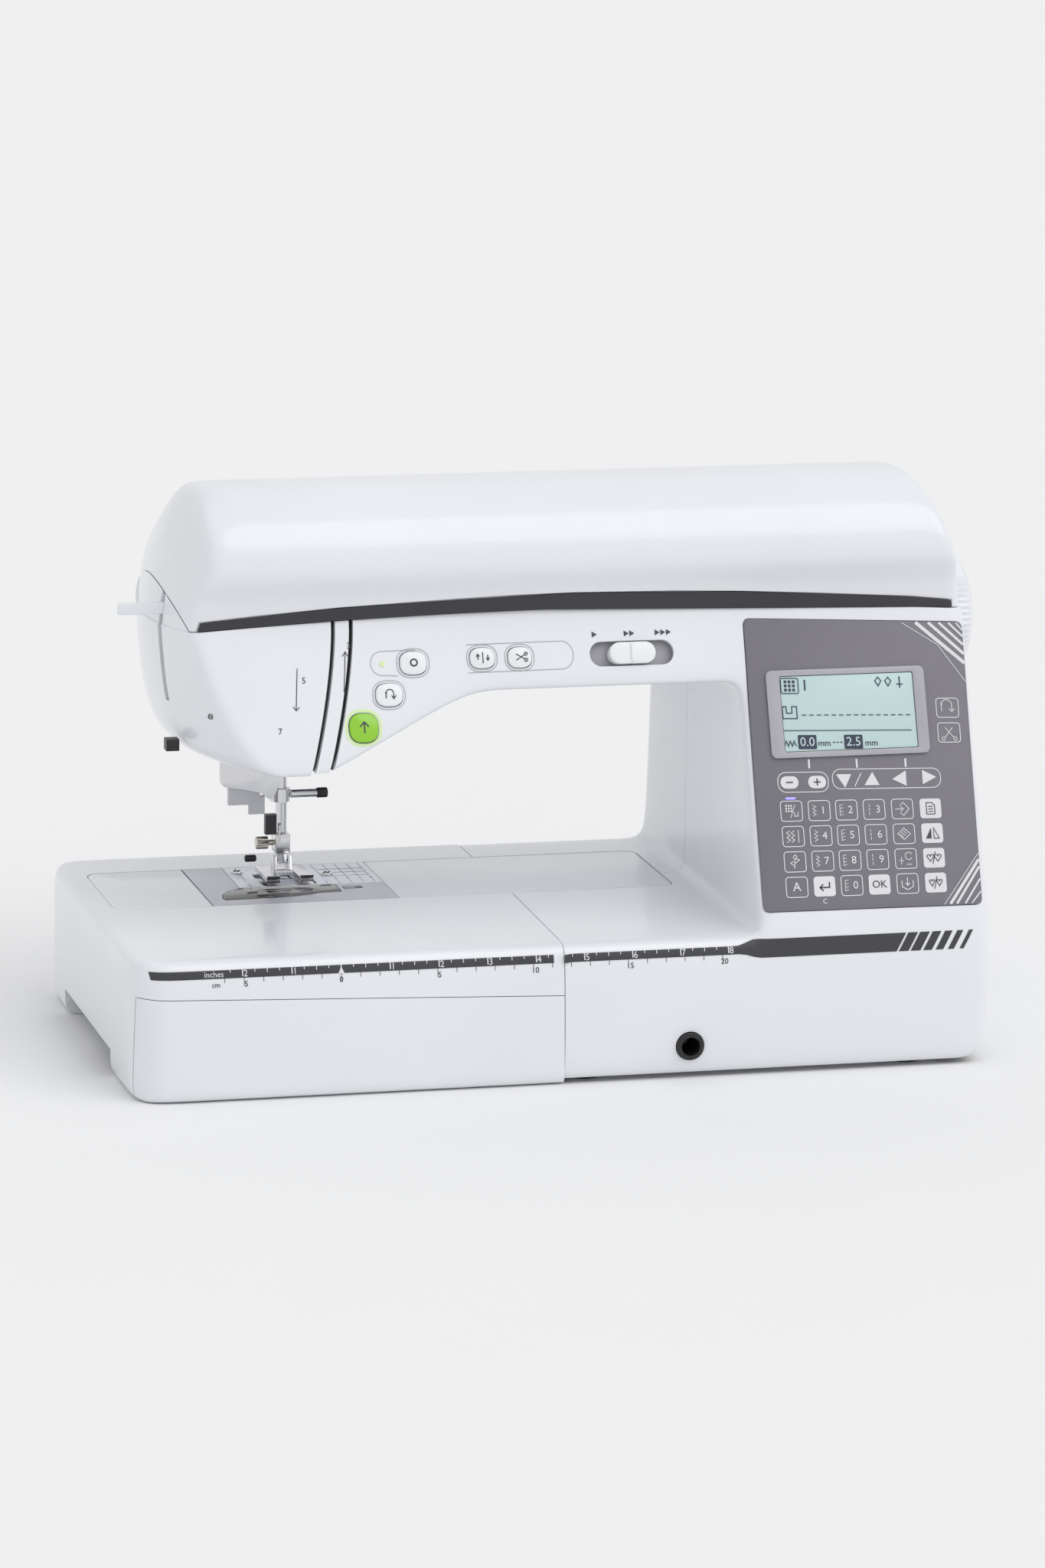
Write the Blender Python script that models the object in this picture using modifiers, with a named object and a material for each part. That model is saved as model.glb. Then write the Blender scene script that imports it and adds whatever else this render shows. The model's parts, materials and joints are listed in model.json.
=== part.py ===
"""Free-arm electronic sewing machine, as separate pieces in one frame.

Metres, +Z up, +X to the operator's right, +Y to the back. The origin is under the middle of the
machine, on the surface that it stands on.
"""

import math

import bmesh
import bpy
from mathutils import Matrix, Vector

# Driving dimensions
GAP = 0.0004
WALL = 0.0026
FOOT_HEIGHT = 0.0030
BASE_LOW = 0.0012
BED_TOP = 0.0724
BED_FRONT = -0.1245
BED_BACK = 0.1240
BEND_Z = 0.0660
BEND_Y = -0.1208
PANEL_TILT = math.radians(69.0)
PANEL_FOOT_Y = -0.1140
PANEL_FOOT_Z = 0.0837
ARM_BACK = 0.1060
ARM_BOTTOM = 0.1950
HEAD_BOTTOM = 0.1570
PARTING_Z = 0.2345
PARTING_X = 0.0020
PARTING_DROP = 0.145
FLANK_X = 0.0880
RIGHT_X = 0.2120
LEFT_X = -0.2200
END_X = -0.2160
END_BULGE_Y = -0.0050
TRAY_LEFT = -0.2400
SEAM_X = -0.0165

ARM_FRONT_Y = -0.0003
ARM_BACK_Y = 0.0853
ARM_LEFT = -0.2264
ARM_RIGHT = 0.0745
ARM_LOW = 0.0190
ARM_CORNER = 0.0080

NEEDLE_X = -0.1286
NEEDLE_Y = 0.0500
CENTRE_X = -0.1251
PRESSER_Y = 0.0630
HOOK_Y = 0.0345
PLATE_LEFT = -0.1740
PLATE_STEP = -0.1525
PLATE_RIGHT = -0.0753
PLATE_FRONT_Y = 0.0380
PLATE_THICK = 0.0020

SHAFT_Y = 0.0380
SHAFT_Z = 0.2080
WHEEL_IN = 0.2135
LOWER_Y = 0.0520
LOWER_Z = 0.0340
MOTOR_Y = -0.0050
MOTOR_Z = 0.1150

SLOT_TOP_X = -0.1258
SLOT_WIDTH = 0.0022
STRIP_WIDTH = 0.0071

WHITE = ("white_plastic", (0.86, 0.87, 0.89), 0.28, 0.0)
GREY = ("grey_plastic", (0.50, 0.50, 0.53), 0.45, 0.0)
DARK = ("dark_plastic", (0.06, 0.06, 0.065), 0.5, 0.0)
STEEL = ("polished_steel", (0.72, 0.72, 0.74), 0.25, 1.0)
PLATE_STEEL = ("satin_steel", (0.62, 0.63, 0.66), 0.4, 1.0)
CAST = ("cast_aluminium", (0.55, 0.56, 0.58), 0.55, 1.0)
MOTOR = ("motor_steel", (0.30, 0.31, 0.33), 0.5, 1.0)
RUBBER = ("rubber", (0.03, 0.03, 0.03), 0.85, 0.0)
GREEN = ("green_plastic", (0.32, 0.62, 0.03), 0.35, 0.0)
CLEAR = ("clear_plastic", (0.75, 0.76, 0.78), 0.12, 0.0)
PANEL = ("panel_film", (0.19, 0.18, 0.21), 0.45, 0.0)
LCD = ("lcd_glass", (0.58, 0.74, 0.74), 0.15, 0.0)

AXIS_TURN = {
    "X": Matrix.Rotation(math.radians(90.0), 4, "Y"),
    "Y": Matrix.Rotation(math.radians(-90.0), 4, "X"),
    "Z": Matrix.Identity(4),
}
BODY_X = [LEFT_X, -0.2080, -0.1880, -0.1600, -0.1330, -0.0945, -0.0560, -0.0380,
          0.0300, 0.0760, FLANK_X, 0.1000, 0.1500, 0.2000, RIGHT_X]
BODY_Z = [BASE_LOW, 0.0120, 0.0560, BED_TOP, 0.0860, 0.1300, 0.1770, ARM_BOTTOM, 0.2050,
          0.2250, 0.2700, 0.3400]
BED_COLUMN = 8
FLANK_COLUMN = 10
BED_ROW = 3
ARM_ROW = 7
DEPTH_STEPS = [0.0, 0.0090, 0.33, 0.66, -0.0140, 0.0]
BED_EDGE = 0.0125
SLOT_HEIGHTS = (0.140, 0.156, 0.172, 0.190, 0.210, 0.232, 0.300)
CROWN_X = [LEFT_X, -0.2080, -0.1860, -0.1500, -0.0200, 0.1100, 0.1700, 0.2000, RIGHT_X]
CROWN_FRONT_Z = [0.2000, 0.2200, 0.2460, 0.2560, 0.2780, 0.2915]
CROWN_BACK_Z = [0.2000, 0.2200, 0.2340, 0.2440, 0.2560, 0.2675]
CROWN_FRONT = [-0.0570, -0.0570, -0.0570, -0.0680, -0.0620, -0.0440]
CROWN_BACK = [0.1060, 0.1060, 0.1060, 0.1055, 0.0980, 0.0800]
CROWN_IN_LEFT = [0.0, 0.0010, 0.0030, 0.0040, 0.0085, 0.0195]
CROWN_IN_RIGHT = [0.0, 0.0010, 0.0030, 0.0060, 0.0130, 0.0210]
CROWN_TOP_Z = [0.2915, 0.2990, 0.2995, 0.2865, 0.2725, 0.2675]
CROWN_BLEND = [0.0, 0.06, 0.34, 0.66, 0.92, 1.0]
TRAY_CORNER = 0.0210
TRAY_X = [TRAY_LEFT, TRAY_LEFT + TRAY_CORNER / 2, TRAY_LEFT + TRAY_CORNER, -0.1600, -0.0900,
          -0.0400, 0.0400]
TRAY_Z = [0.0002, 0.0120, 0.0560, BED_TOP]
TRAY_DEPTH = 7
TRAY_HOLLOW_FRONT = [(-0.0230, -0.1160), (-0.0230, -0.0034), (-0.2345, -0.0034), (-0.2345, -0.1010),
                     (-0.2320, -0.1085), (-0.2265, -0.1140), (-0.2190, -0.1160)]
TRAY_HOLLOW_REAR = [(-0.0230, ARM_BACK_Y + 0.0032), (-0.0230, 0.1200), (-0.2180, 0.1200),
                    (-0.2255, 0.1180), (-0.2320, 0.1120), (-0.2345, 0.1040),
                    (-0.2345, ARM_BACK_Y + 0.0032)]
SECOND_SLOT = SLOT_WIDTH + STRIP_WIDTH
LID_SEAM_LOW = (-0.1981, 0.2270)
LID_SEAM_HIGH = (-0.2260, 0.2880)
BUTTONS = (
    ("start_stop_button", -0.1127, 0.1803, 0.0150, 0.0150, GREEN),
    ("reverse_button", -0.0983, 0.1957, 0.0140, 0.0120, WHITE),
    ("reinforce_button", -0.0846, 0.2106, 0.0140, 0.0120, WHITE),
    ("needle_position_button", -0.0483, 0.2118, 0.0130, 0.0108, WHITE),
    ("thread_cutter_button", -0.0286, 0.2115, 0.0124, 0.0108, WHITE),
)
SPEED_X = 0.0310
SPEED_Z = 0.2118
SPEED_SLOT = (0.0447, 0.0130)
SPEED_KNOB = (0.0246, 0.0112)
PANEL_X = 0.1503
PANEL_CORNERS = ((-0.0600, 0.0), (0.0572, -0.0008), (0.0593, 0.1474), (-0.0586, 0.1530))
STRIP_BACK_Y = -0.0566
LID_HINGE_Y = 0.1062
LID_HINGE_Z = 0.2335
DOOR_DEPTH_Y = -0.1100
DOOR_HINGE_Y = -0.1235
DOOR_HINGE_Z = 0.0030
STRIP_FRONT_Y = -0.0584
KNEE_X = 0.0496
KNEE_Z = 0.0173
KNEE_RADIUS = 0.0072
INLET_Y = 0.0720
INLET_Z = 0.0400
SWITCH_Y = 0.0720
SWITCH_Z = 0.0680
THREADER_Y = -0.0260
BOBBIN_COVER = [
    (-0.1510, 0.0378), (-0.1590, 0.0325), (-0.1645, 0.0240), (-0.1662, 0.0150),
    (-0.1652, 0.0118), (-0.1360, 0.0126), (-0.1260, 0.0142), (-0.1140, 0.0192),
    (-0.1015, 0.0195), (-0.1015, 0.0378),
]
FEED_TEETH = (
    (-0.1395, -0.1360, 0.0440, 0.0640),
    (-0.1142, -0.1107, 0.0440, 0.0640),
    (-0.1290, -0.1212, 0.0570, 0.0650),
)
FOOT_PIVOT_Y = 0.0619
FOOT_PIVOT_Z = 0.0800
LEVER_X = -0.1118
LEVER_Z = 0.1800
WINDER_X = 0.1600
WINDER_Y = 0.0100
TAKE_UP_X = -0.1247
TAKE_UP_Y = 0.0200
TAKE_UP_Z = 0.2090

FACE_OUT = Vector((0.0, -math.sin(PANEL_TILT), math.cos(PANEL_TILT)))
FACE_UP = Vector((0.0, math.cos(PANEL_TILT), math.sin(PANEL_TILT)))


def clear_scene():
    for item in list(bpy.data.objects):
        bpy.data.objects.remove(item, do_unlink=True)


def new_collection(name):
    collection = bpy.data.collections.new(name)
    bpy.context.scene.collection.children.link(collection)
    return collection


clear_scene()
PARTS = new_collection("sewing_machine")
CUTTERS = new_collection("cutters")


def material(spec):
    name, colour, roughness, metallic = spec
    found = bpy.data.materials.get(name)
    if found:
        return found
    made = bpy.data.materials.new(name)
    made.use_nodes = True
    shader = made.node_tree.nodes["Principled BSDF"]
    shader.inputs["Base Color"].default_value = (*colour, 1.0)
    shader.inputs["Roughness"].default_value = roughness
    shader.inputs["Metallic"].default_value = metallic
    return made


def add_object(name, mesh, spec=None):
    """Put a mesh in the scene: a part when it has a material, a cutter when it has none."""
    item = bpy.data.objects.new(name, mesh)
    if spec is None:
        CUTTERS.objects.link(item)
        item.hide_render = True
        item.display_type = "WIRE"
    else:
        PARTS.objects.link(item)
        mesh.materials.append(material(spec))
    return item


def mesh_from(bm, name, smooth=False):
    mesh = bpy.data.meshes.new(name)
    bm.to_mesh(mesh)
    bm.free()
    if smooth:
        mesh.shade_smooth()
        mesh.set_sharp_from_angle(angle=math.radians(35.0))
    return mesh


def set_origin(item, point):
    """Move the object's origin to a point, keeping its shape where it is."""
    point = Vector(point)
    item.data.transform(Matrix.Translation(-(item.matrix_world.inverted() @ point)))
    item.matrix_world = Matrix.Translation(point - item.matrix_world.translation) @ item.matrix_world


def bevel(item, width, segments=2, angle=35.0):
    tool = item.modifiers.new("round", "BEVEL")
    tool.width = width
    tool.segments = segments
    tool.limit_method = "ANGLE"
    tool.angle_limit = math.radians(angle)
    return item


def boolean(item, other, operation):
    tool = item.modifiers.new(operation.lower(), "BOOLEAN")
    tool.object = other
    tool.operation = operation
    tool.solver = "EXACT"
    return item


def cut(item, *others):
    for other in others:
        boolean(item, other, "DIFFERENCE")
    return item


def keep(item, *others):
    for other in others:
        boolean(item, other, "INTERSECT")
    return item


def join(item, *others):
    for other in others:
        boolean(item, other, "UNION")
    return item


def box(name, low, high, spec=None, rounding=0.0, segments=2):
    """A box between two corners, with rounded edges where asked."""
    bm = bmesh.new()
    bmesh.ops.create_cube(bm, size=1.0)
    low = Vector(low)
    high = Vector(high)
    size = high - low
    middle = (high + low) / 2
    for vert in bm.verts:
        vert.co = Vector((vert.co.x * size.x, vert.co.y * size.y, vert.co.z * size.z)) + middle
    item = add_object(name, mesh_from(bm, name), spec)
    if rounding:
        bevel(item, rounding, segments)
    return item


def rod(name, start, length, radius, axis="Z", spec=None, sides=20, rounding=0.0, tip=None):
    """A round bar from a start point along an axis; tip is the far end's radius."""
    bm = bmesh.new()
    far = radius if tip is None else tip
    bmesh.ops.create_cone(
        bm, cap_ends=True, segments=sides, radius1=radius, radius2=far, depth=length
    )
    turn = axis if isinstance(axis, Matrix) else AXIS_TURN[axis]
    bm.transform(turn @ Matrix.Translation((0.0, 0.0, length / 2)))
    item = add_object(name, mesh_from(bm, name, True), spec)
    item.location = start
    if rounding:
        bevel(item, rounding, 2, 50.0)
    return item


def turned(name, start, profile, axis="Z", spec=None, steps=24):
    """A turned shape: (radius, height) points from the top of the axis down its outer side."""
    mesh = bpy.data.meshes.new(name)
    points = [(radius, 0.0, height) for radius, height in profile]
    mesh.from_pydata(points, [(i, i + 1) for i in range(len(points) - 1)], [])
    item = add_object(name, mesh, spec)
    turn = axis if isinstance(axis, Matrix) else AXIS_TURN[axis]
    item.matrix_world = Matrix.Translation(start) @ turn
    screw = item.modifiers.new("turn", "SCREW")
    screw.axis = "Z"
    screw.steps = steps
    screw.render_steps = steps
    screw.use_merge_vertices = True
    screw.merge_threshold = 0.00001
    screw.use_smooth_shade = True
    return item


def outline_solid(name, points, thickness, frame, spec=None):
    """A flat outline in the frame's XY plane, thick along its Z and centred on it."""
    curve = bpy.data.curves.new(name, "CURVE")
    curve.dimensions = "2D"
    curve.fill_mode = "BOTH"
    curve.extrude = thickness / 2
    spline = curve.splines.new("POLY")
    spline.points.add(len(points) - 1)
    for place, (x, y) in zip(spline.points, points):
        place.co = (x, y, 0.0, 1.0)
    spline.use_cyclic_u = True
    holder = bpy.data.objects.new(name + "_curve", curve)
    CUTTERS.objects.link(holder)
    bpy.context.view_layer.update()
    evaluated = holder.evaluated_get(bpy.context.evaluated_depsgraph_get())
    mesh = bpy.data.meshes.new_from_object(evaluated)
    bpy.data.objects.remove(holder, do_unlink=True)
    mesh.name = name
    bm = bmesh.new()
    bm.from_mesh(mesh)
    bmesh.ops.remove_doubles(bm, verts=bm.verts, dist=0.000002)
    bmesh.ops.dissolve_limit(
        bm, angle_limit=0.001, verts=bm.verts, edges=bm.edges
    )
    bmesh.ops.recalc_face_normals(bm, faces=bm.faces)
    bm.to_mesh(mesh)
    bm.free()
    mesh.materials.clear()
    item = add_object(name, mesh, spec)
    item.matrix_world = frame
    return item


def rounded_rectangle(x0, y0, x1, y1, radius, steps=4):
    """Corner points of a rectangle with round corners, anticlockwise."""
    centres = (
        (x1 - radius, y0 + radius, -90.0),
        (x1 - radius, y1 - radius, 0.0),
        (x0 + radius, y1 - radius, 90.0),
        (x0 + radius, y0 + radius, 180.0),
    )
    points = []
    for cx, cy, start in centres:
        for i in range(steps + 1):
            turn = math.radians(start + 90.0 * i / steps)
            points.append((cx + radius * math.cos(turn), cy + radius * math.sin(turn)))
    return points


def panel_outline(margin, radius=0.0040, steps=4):
    """The panel's slightly lopsided outline with round corners, grown by a margin."""
    signs = ((-1, -1), (1, -1), (1, 1), (-1, 1))
    corners = [Vector((x + sx * margin, y + sy * margin))
               for (x, y), (sx, sy) in zip(PANEL_CORNERS, signs)]
    points = []
    for number, corner in enumerate(corners):
        before = corner + (corners[number - 1] - corner).normalized() * radius
        after = corner + (corners[(number + 1) % 4] - corner).normalized() * radius
        for i in range(steps + 1):
            t = i / steps
            point = before * (1 - t) ** 2 + corner * 2 * t * (1 - t) + after * t ** 2
            points.append((point.x, point.y))
    return points


def axes_frame(origin, x_axis, y_axis):
    x_axis = Vector(x_axis).normalized()
    y_axis = Vector(y_axis).normalized()
    z_axis = x_axis.cross(y_axis)
    turn = Matrix((x_axis, y_axis, z_axis)).transposed().to_4x4()
    return Matrix.Translation(origin) @ turn


FRONT_VIEW = axes_frame((0.0, 0.0, 0.0), (1.0, 0.0, 0.0), (0.0, 0.0, 1.0))
SIDE_VIEW = axes_frame((0.0, 0.0, 0.0), (0.0, 1.0, 0.0), (0.0, 0.0, 1.0))


def front_prism(name, points, y0, y1, spec=None):
    """An outline in X and Z, between two depths."""
    frame = Matrix.Translation((0.0, (y0 + y1) / 2, 0.0)) @ FRONT_VIEW
    return outline_solid(name, points, y1 - y0, frame, spec)


def plan_prism(name, points, z0, z1, spec=None):
    """An outline in X and Y, between two heights."""
    return outline_solid(name, points, z1 - z0, Matrix.Translation((0.0, 0.0, (z0 + z1) / 2)), spec)


def side_prism(name, points, x0, x1, spec=None):
    """An outline in Y and Z, between two places along X."""
    frame = Matrix.Translation(((x0 + x1) / 2, 0.0, 0.0)) @ SIDE_VIEW
    return outline_solid(name, points, x1 - x0, frame, spec)


def face_point(x, z, out=0.0):
    """A point on the sloping front face, or proud of it."""
    return Vector((x, PANEL_FOOT_Y + (z - PANEL_FOOT_Z) / math.tan(PANEL_TILT), z)) + out * FACE_OUT


def face_frame(x, z, out=0.0):
    """A frame on the sloping face: X to the right, Y up the slope, Z out of it."""
    return axes_frame(face_point(x, z, out), (1.0, 0.0, 0.0), FACE_UP)


def front_y(z):
    """Depth of the front of the housing at a height."""
    if z > BEND_Z:
        return BEND_Y + (z - BEND_Z) / math.tan(PANEL_TILT)
    rise = max(0.0, z - FOOT_HEIGHT) / (BEND_Z - FOOT_HEIGHT)
    return BED_FRONT + (BEND_Y - BED_FRONT) * rise


def back_y(z):
    """Depth of the back of the housing at a height."""
    if z <= BED_TOP + 0.001:
        return BED_BACK
    return 0.1180 + (ARM_BACK - 0.1180) * (z - BED_TOP) / (PARTING_Z - BED_TOP)


def head_bottom(x):
    """Height of the underside of the arm and head along the machine."""
    left = -0.1330
    right = -0.0560
    if x >= right:
        return ARM_BOTTOM
    if x <= left:
        return HEAD_BOTTOM
    return HEAD_BOTTOM + (ARM_BOTTOM - HEAD_BOTTOM) * (x - left) / (right - left)


def left_end(y, z):
    """How far the left end of the head reaches at a depth and height."""
    if y < END_BULGE_Y:
        depth = 0.0170 * ((END_BULGE_Y - y) / 0.053) ** 1.8
    else:
        depth = 0.0220 * ((y - END_BULGE_Y) / 0.111) ** 1.3
    low = 0.0220 * max(0.0, (0.1780 - z) / 0.021) ** 2
    return END_X + depth + low


def right_end(z):
    low = min(1.0, max(0.0, (0.018 - z) / 0.015))
    return RIGHT_X - 0.010 * low ** 2


def housing_cell(i, k):
    """True where the C-shaped housing has material, seen from the front."""
    in_bed = i >= BED_COLUMN - 2 and k < BED_ROW
    in_column = i >= FLANK_COLUMN
    in_arm = k >= ARM_ROW
    return in_bed or in_column or in_arm


def housing_point(i, j, k, inset):
    """Cage point of the housing; inset moves every outer face inwards."""
    x = BODY_X[i]
    z = BODY_Z[k]
    if k == ARM_ROW and x < FLANK_X:
        z = head_bottom(x) + inset
    if k == ARM_ROW + 1:
        z = max(head_bottom(x) + 0.012, HEAD_BOTTOM + 0.012) if x < FLANK_X else z
    if k == BED_ROW:
        z -= inset
    if k == 0:
        z -= 10 * inset
    if i == FLANK_COLUMN:
        x += inset
    if i == BED_COLUMN - 2 and k <= BED_ROW:
        x -= 10 * inset
    front = front_y(z) + inset * 1.05
    back = back_y(z) - inset
    if k == BED_ROW and i >= FLANK_COLUMN:
        back = back_y(BED_TOP) - inset
    steps = DEPTH_STEPS
    depth = back - front
    y = (
        front,
        front + (BED_EDGE if k <= BED_ROW else steps[1]),
        front + steps[2] * depth,
        front + steps[3] * depth,
        back + steps[4],
        back,
    )[j]
    if k >= ARM_ROW and i <= 3:
        end = left_end(y, z) + inset + 0.008 * i
        x = end if i == 0 else max(x, end)
    if i >= len(BODY_X) - 2:
        end = right_end(z) - inset
        x = end if i == len(BODY_X) - 1 else min(x, end - 0.012)
    if k == 0 and j == 0:
        y += 0.003
    if k == 0 and j == 5:
        y -= 0.003
    return Vector((x, y, z))


def lattice(name, counts, filled, place, levels):
    """The closed skin of the filled cells of a grid, smoothed by subdivision."""
    bm = bmesh.new()
    made = {}

    def corner(i, j, k):
        if (i, j, k) not in made:
            made[(i, j, k)] = bm.verts.new(place(i, j, k))
        return made[(i, j, k)]

    def is_filled(i, j, k):
        inside = 0 <= i < counts[0] and 0 <= j < counts[1] and 0 <= k < counts[2]
        return inside and filled(i, k)

    for i in range(counts[0]):
        for j in range(counts[1]):
            for k in range(counts[2]):
                if not is_filled(i, j, k):
                    continue
                sides = (
                    ((-1, 0, 0), ((0, 0, 0), (0, 0, 1), (0, 1, 1), (0, 1, 0))),
                    ((1, 0, 0), ((1, 0, 0), (1, 1, 0), (1, 1, 1), (1, 0, 1))),
                    ((0, -1, 0), ((0, 0, 0), (1, 0, 0), (1, 0, 1), (0, 0, 1))),
                    ((0, 1, 0), ((0, 1, 0), (0, 1, 1), (1, 1, 1), (1, 1, 0))),
                    ((0, 0, -1), ((0, 0, 0), (0, 1, 0), (1, 1, 0), (1, 0, 0))),
                    ((0, 0, 1), ((0, 0, 1), (1, 0, 1), (1, 1, 1), (0, 1, 1))),
                )
                for (di, dj, dk), corners in sides:
                    if is_filled(i + di, j + dj, k + dk):
                        continue
                    bm.faces.new([corner(i + a, j + b, k + c) for a, b, c in corners])
    bmesh.ops.recalc_face_normals(bm, faces=bm.faces)
    item = add_object(name, mesh_from(bm, name, True), None)
    if levels:
        smooth = item.modifiers.new("smooth", "SUBSURF")
        smooth.levels = levels
        smooth.render_levels = levels
    return item


def housing_form(name, inset, levels):
    counts = (len(BODY_X) - 1, len(DEPTH_STEPS) - 1, len(BODY_Z) - 1)
    return lattice(
        name, counts, housing_cell, lambda i, j, k: housing_point(i, j, k, inset), levels
    )


def parting_z(x):
    """Height of the line where the lid meets the housing, a shallow arch."""
    return PARTING_Z - PARTING_DROP * (x - PARTING_X) ** 2


def arch_outline(top, low_offset, x0=-0.26, x1=0.26, steps=14):
    """Region above the parting arch up to a height, as X and Z points."""
    points = []
    for i in range(steps + 1):
        x = x0 + (x1 - x0) * i / steps
        points.append((x, parting_z(x) + low_offset))
    return points + [(x1, top), (x0, top)]


def slot_x(z, offset=0.0):
    """Left edge of the first thread slot, which leans to the left going down."""
    drop = max(0.0, (0.232 - z) / 0.066)
    return SLOT_TOP_X - 0.0132 * drop ** 1.5 + offset


def left_of_slot(offset, low=0.140):
    """Everything to the left of a line parallel to the slots, as X and Z points."""
    line = [(slot_x(z, offset), z) for z in SLOT_HEIGHTS]
    line[0] = (line[0][0], low)
    return [(-0.30, low)] + line + [(-0.30, SLOT_HEIGHTS[-1])]


def crown_point(i, j, k, inset):
    """Cage point of the closed form whose upper part is the lid."""
    last = len(CROWN_X) - 1
    top = len(CROWN_IN_LEFT) - 1
    z = CROWN_FRONT_Z[k] + CROWN_BLEND[j] * (CROWN_BACK_Z[k] - CROWN_FRONT_Z[k])
    if k == top:
        z = CROWN_TOP_Z[j] - inset - (0.0030 if i in (0, last) else 0.0)
    front = CROWN_FRONT[k] + inset
    back = CROWN_BACK[k] - inset
    depth = back - front
    y = (
        front,
        front + 0.009,
        front + 0.33 * depth,
        front + 0.66 * depth,
        back - 0.014,
        back,
    )[j]
    x = CROWN_X[i]
    if i <= 3:
        end = left_end(y, 0.220) + CROWN_IN_LEFT[k] + inset + 0.009 * i
        x = end if i == 0 else max(x, end)
    if i >= last - 2:
        end = RIGHT_X - CROWN_IN_RIGHT[k] - inset - 0.010 * (last - i)
        x = end if i == last else min(x, end)
    return Vector((x, y, z))


def crown_form(name, inset, levels):
    counts = (len(CROWN_X) - 1, len(DEPTH_STEPS) - 1, len(CROWN_IN_LEFT) - 1)
    return lattice(
        name, counts, lambda i, k: True, lambda i, j, k: crown_point(i, j, k, inset), levels
    )


def round_corner(x, y, edge_x, edge_y, side):
    """Bend the square corner of a grid into a quarter round; side is the way into the part."""
    u = 1.0 - (x - edge_x) / TRAY_CORNER
    v = 1.0 - side * (y - edge_y) / TRAY_CORNER
    if u <= 0.0 or v <= 0.0:
        return x, y
    bent_u = u * math.sqrt(1.0 - v * v / 2)
    bent_v = v * math.sqrt(1.0 - u * u / 2)
    return edge_x + TRAY_CORNER * (1.0 - bent_u), edge_y + side * TRAY_CORNER * (1.0 - bent_v)


def tray_point(i, j, k, inset):
    """Cage point of the tray, whose front and top carry on the housing's."""
    x = TRAY_X[i]
    z = TRAY_Z[k]
    if k == len(TRAY_Z) - 1:
        z -= inset
    if k == 0:
        z += inset
    front = front_y(z) + inset
    back = BED_BACK - inset
    depth = back - front
    y = (
        front,
        front + TRAY_CORNER / 2,
        front + TRAY_CORNER,
        front + 0.33 * depth,
        front + 0.66 * depth,
        back - TRAY_CORNER,
        back - TRAY_CORNER / 2,
        back,
    )[j]
    left = TRAY_LEFT + inset
    x = max(x, left)
    x, y = round_corner(x, y, left, front, 1.0)
    x, y = round_corner(x, y, left, back, -1.0)
    return Vector((x, y, z))


def tray_form(name, inset, levels):
    counts = (len(TRAY_X) - 1, TRAY_DEPTH, len(TRAY_Z) - 1)
    return lattice(
        name, counts, lambda i, k: True, lambda i, j, k: tray_point(i, j, k, inset), levels
    )


def as_part(item, spec):
    """Turn a smoothed form into a part with a material."""
    CUTTERS.objects.unlink(item)
    PARTS.objects.link(item)
    item.hide_render = False
    item.display_type = "TEXTURED"
    item.data.materials.append(material(spec))
    return item


def belt_outline(c1, r1, c2, r2, steps=12):
    """The tight loop around two pulleys, as points in Y and Z."""
    a = Vector(c1)
    b = Vector(c2)
    along = (b - a).normalized()
    lean = math.asin((r1 - r2) / (b - a).length)
    start = math.atan2(along.y, along.x)
    points = []
    for centre, radius, first, last in (
        (a, r1, start + math.pi / 2 - lean, start + 3 * math.pi / 2 + lean),
        (b, r2, start - math.pi / 2 + lean, start + math.pi / 2 - lean),
    ):
        for i in range(steps + 1):
            turn = first + (last - first) * i / steps
            points.append((centre.x + radius * math.cos(turn), centre.y + radius * math.sin(turn)))
    return points


def ellipse(width, height, steps=20):
    points = []
    for i in range(steps):
        turn = 2 * math.pi * i / steps
        points.append((width / 2 * math.cos(turn), height / 2 * math.sin(turn)))
    return points


def on_face(name, points, x, z, low, high, spec=None):
    """An outline on the sloping front face, from one height out of it to another."""
    return outline_solid(name, points, high - low, face_frame(x, z, (low + high) / 2), spec)


def left_of_lid_seam(name, shift):
    """The region that the face cover keeps above the parting line."""
    (x0, z0), (x1, z1) = LID_SEAM_LOW, LID_SEAM_HIGH
    points = [(-0.30, z0), (x0 + shift, z0), (x1 + shift, z1), (-0.30, z1)]
    return front_prism(name, points, -0.2, 0.2)


def housing_shell(name, label, spec=WHITE):
    """The hollow housing before it is split, open at the bottom and the parting line."""
    item = as_part(housing_form(name, 0.0, 1), spec)
    hollow = housing_form("hollow_" + label, WALL, 1)
    cut(item, hollow, front_prism("top_" + label, arch_outline(0.40, -0.0002), -0.2, 0.2))
    return item


def needle_way():
    """Opening in the underside of the head for the needle and presser bars."""
    return box("cut_needle_way", (-0.1645, 0.0260, 0.1400), (-0.1000, 0.0830, 0.1760))


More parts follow.
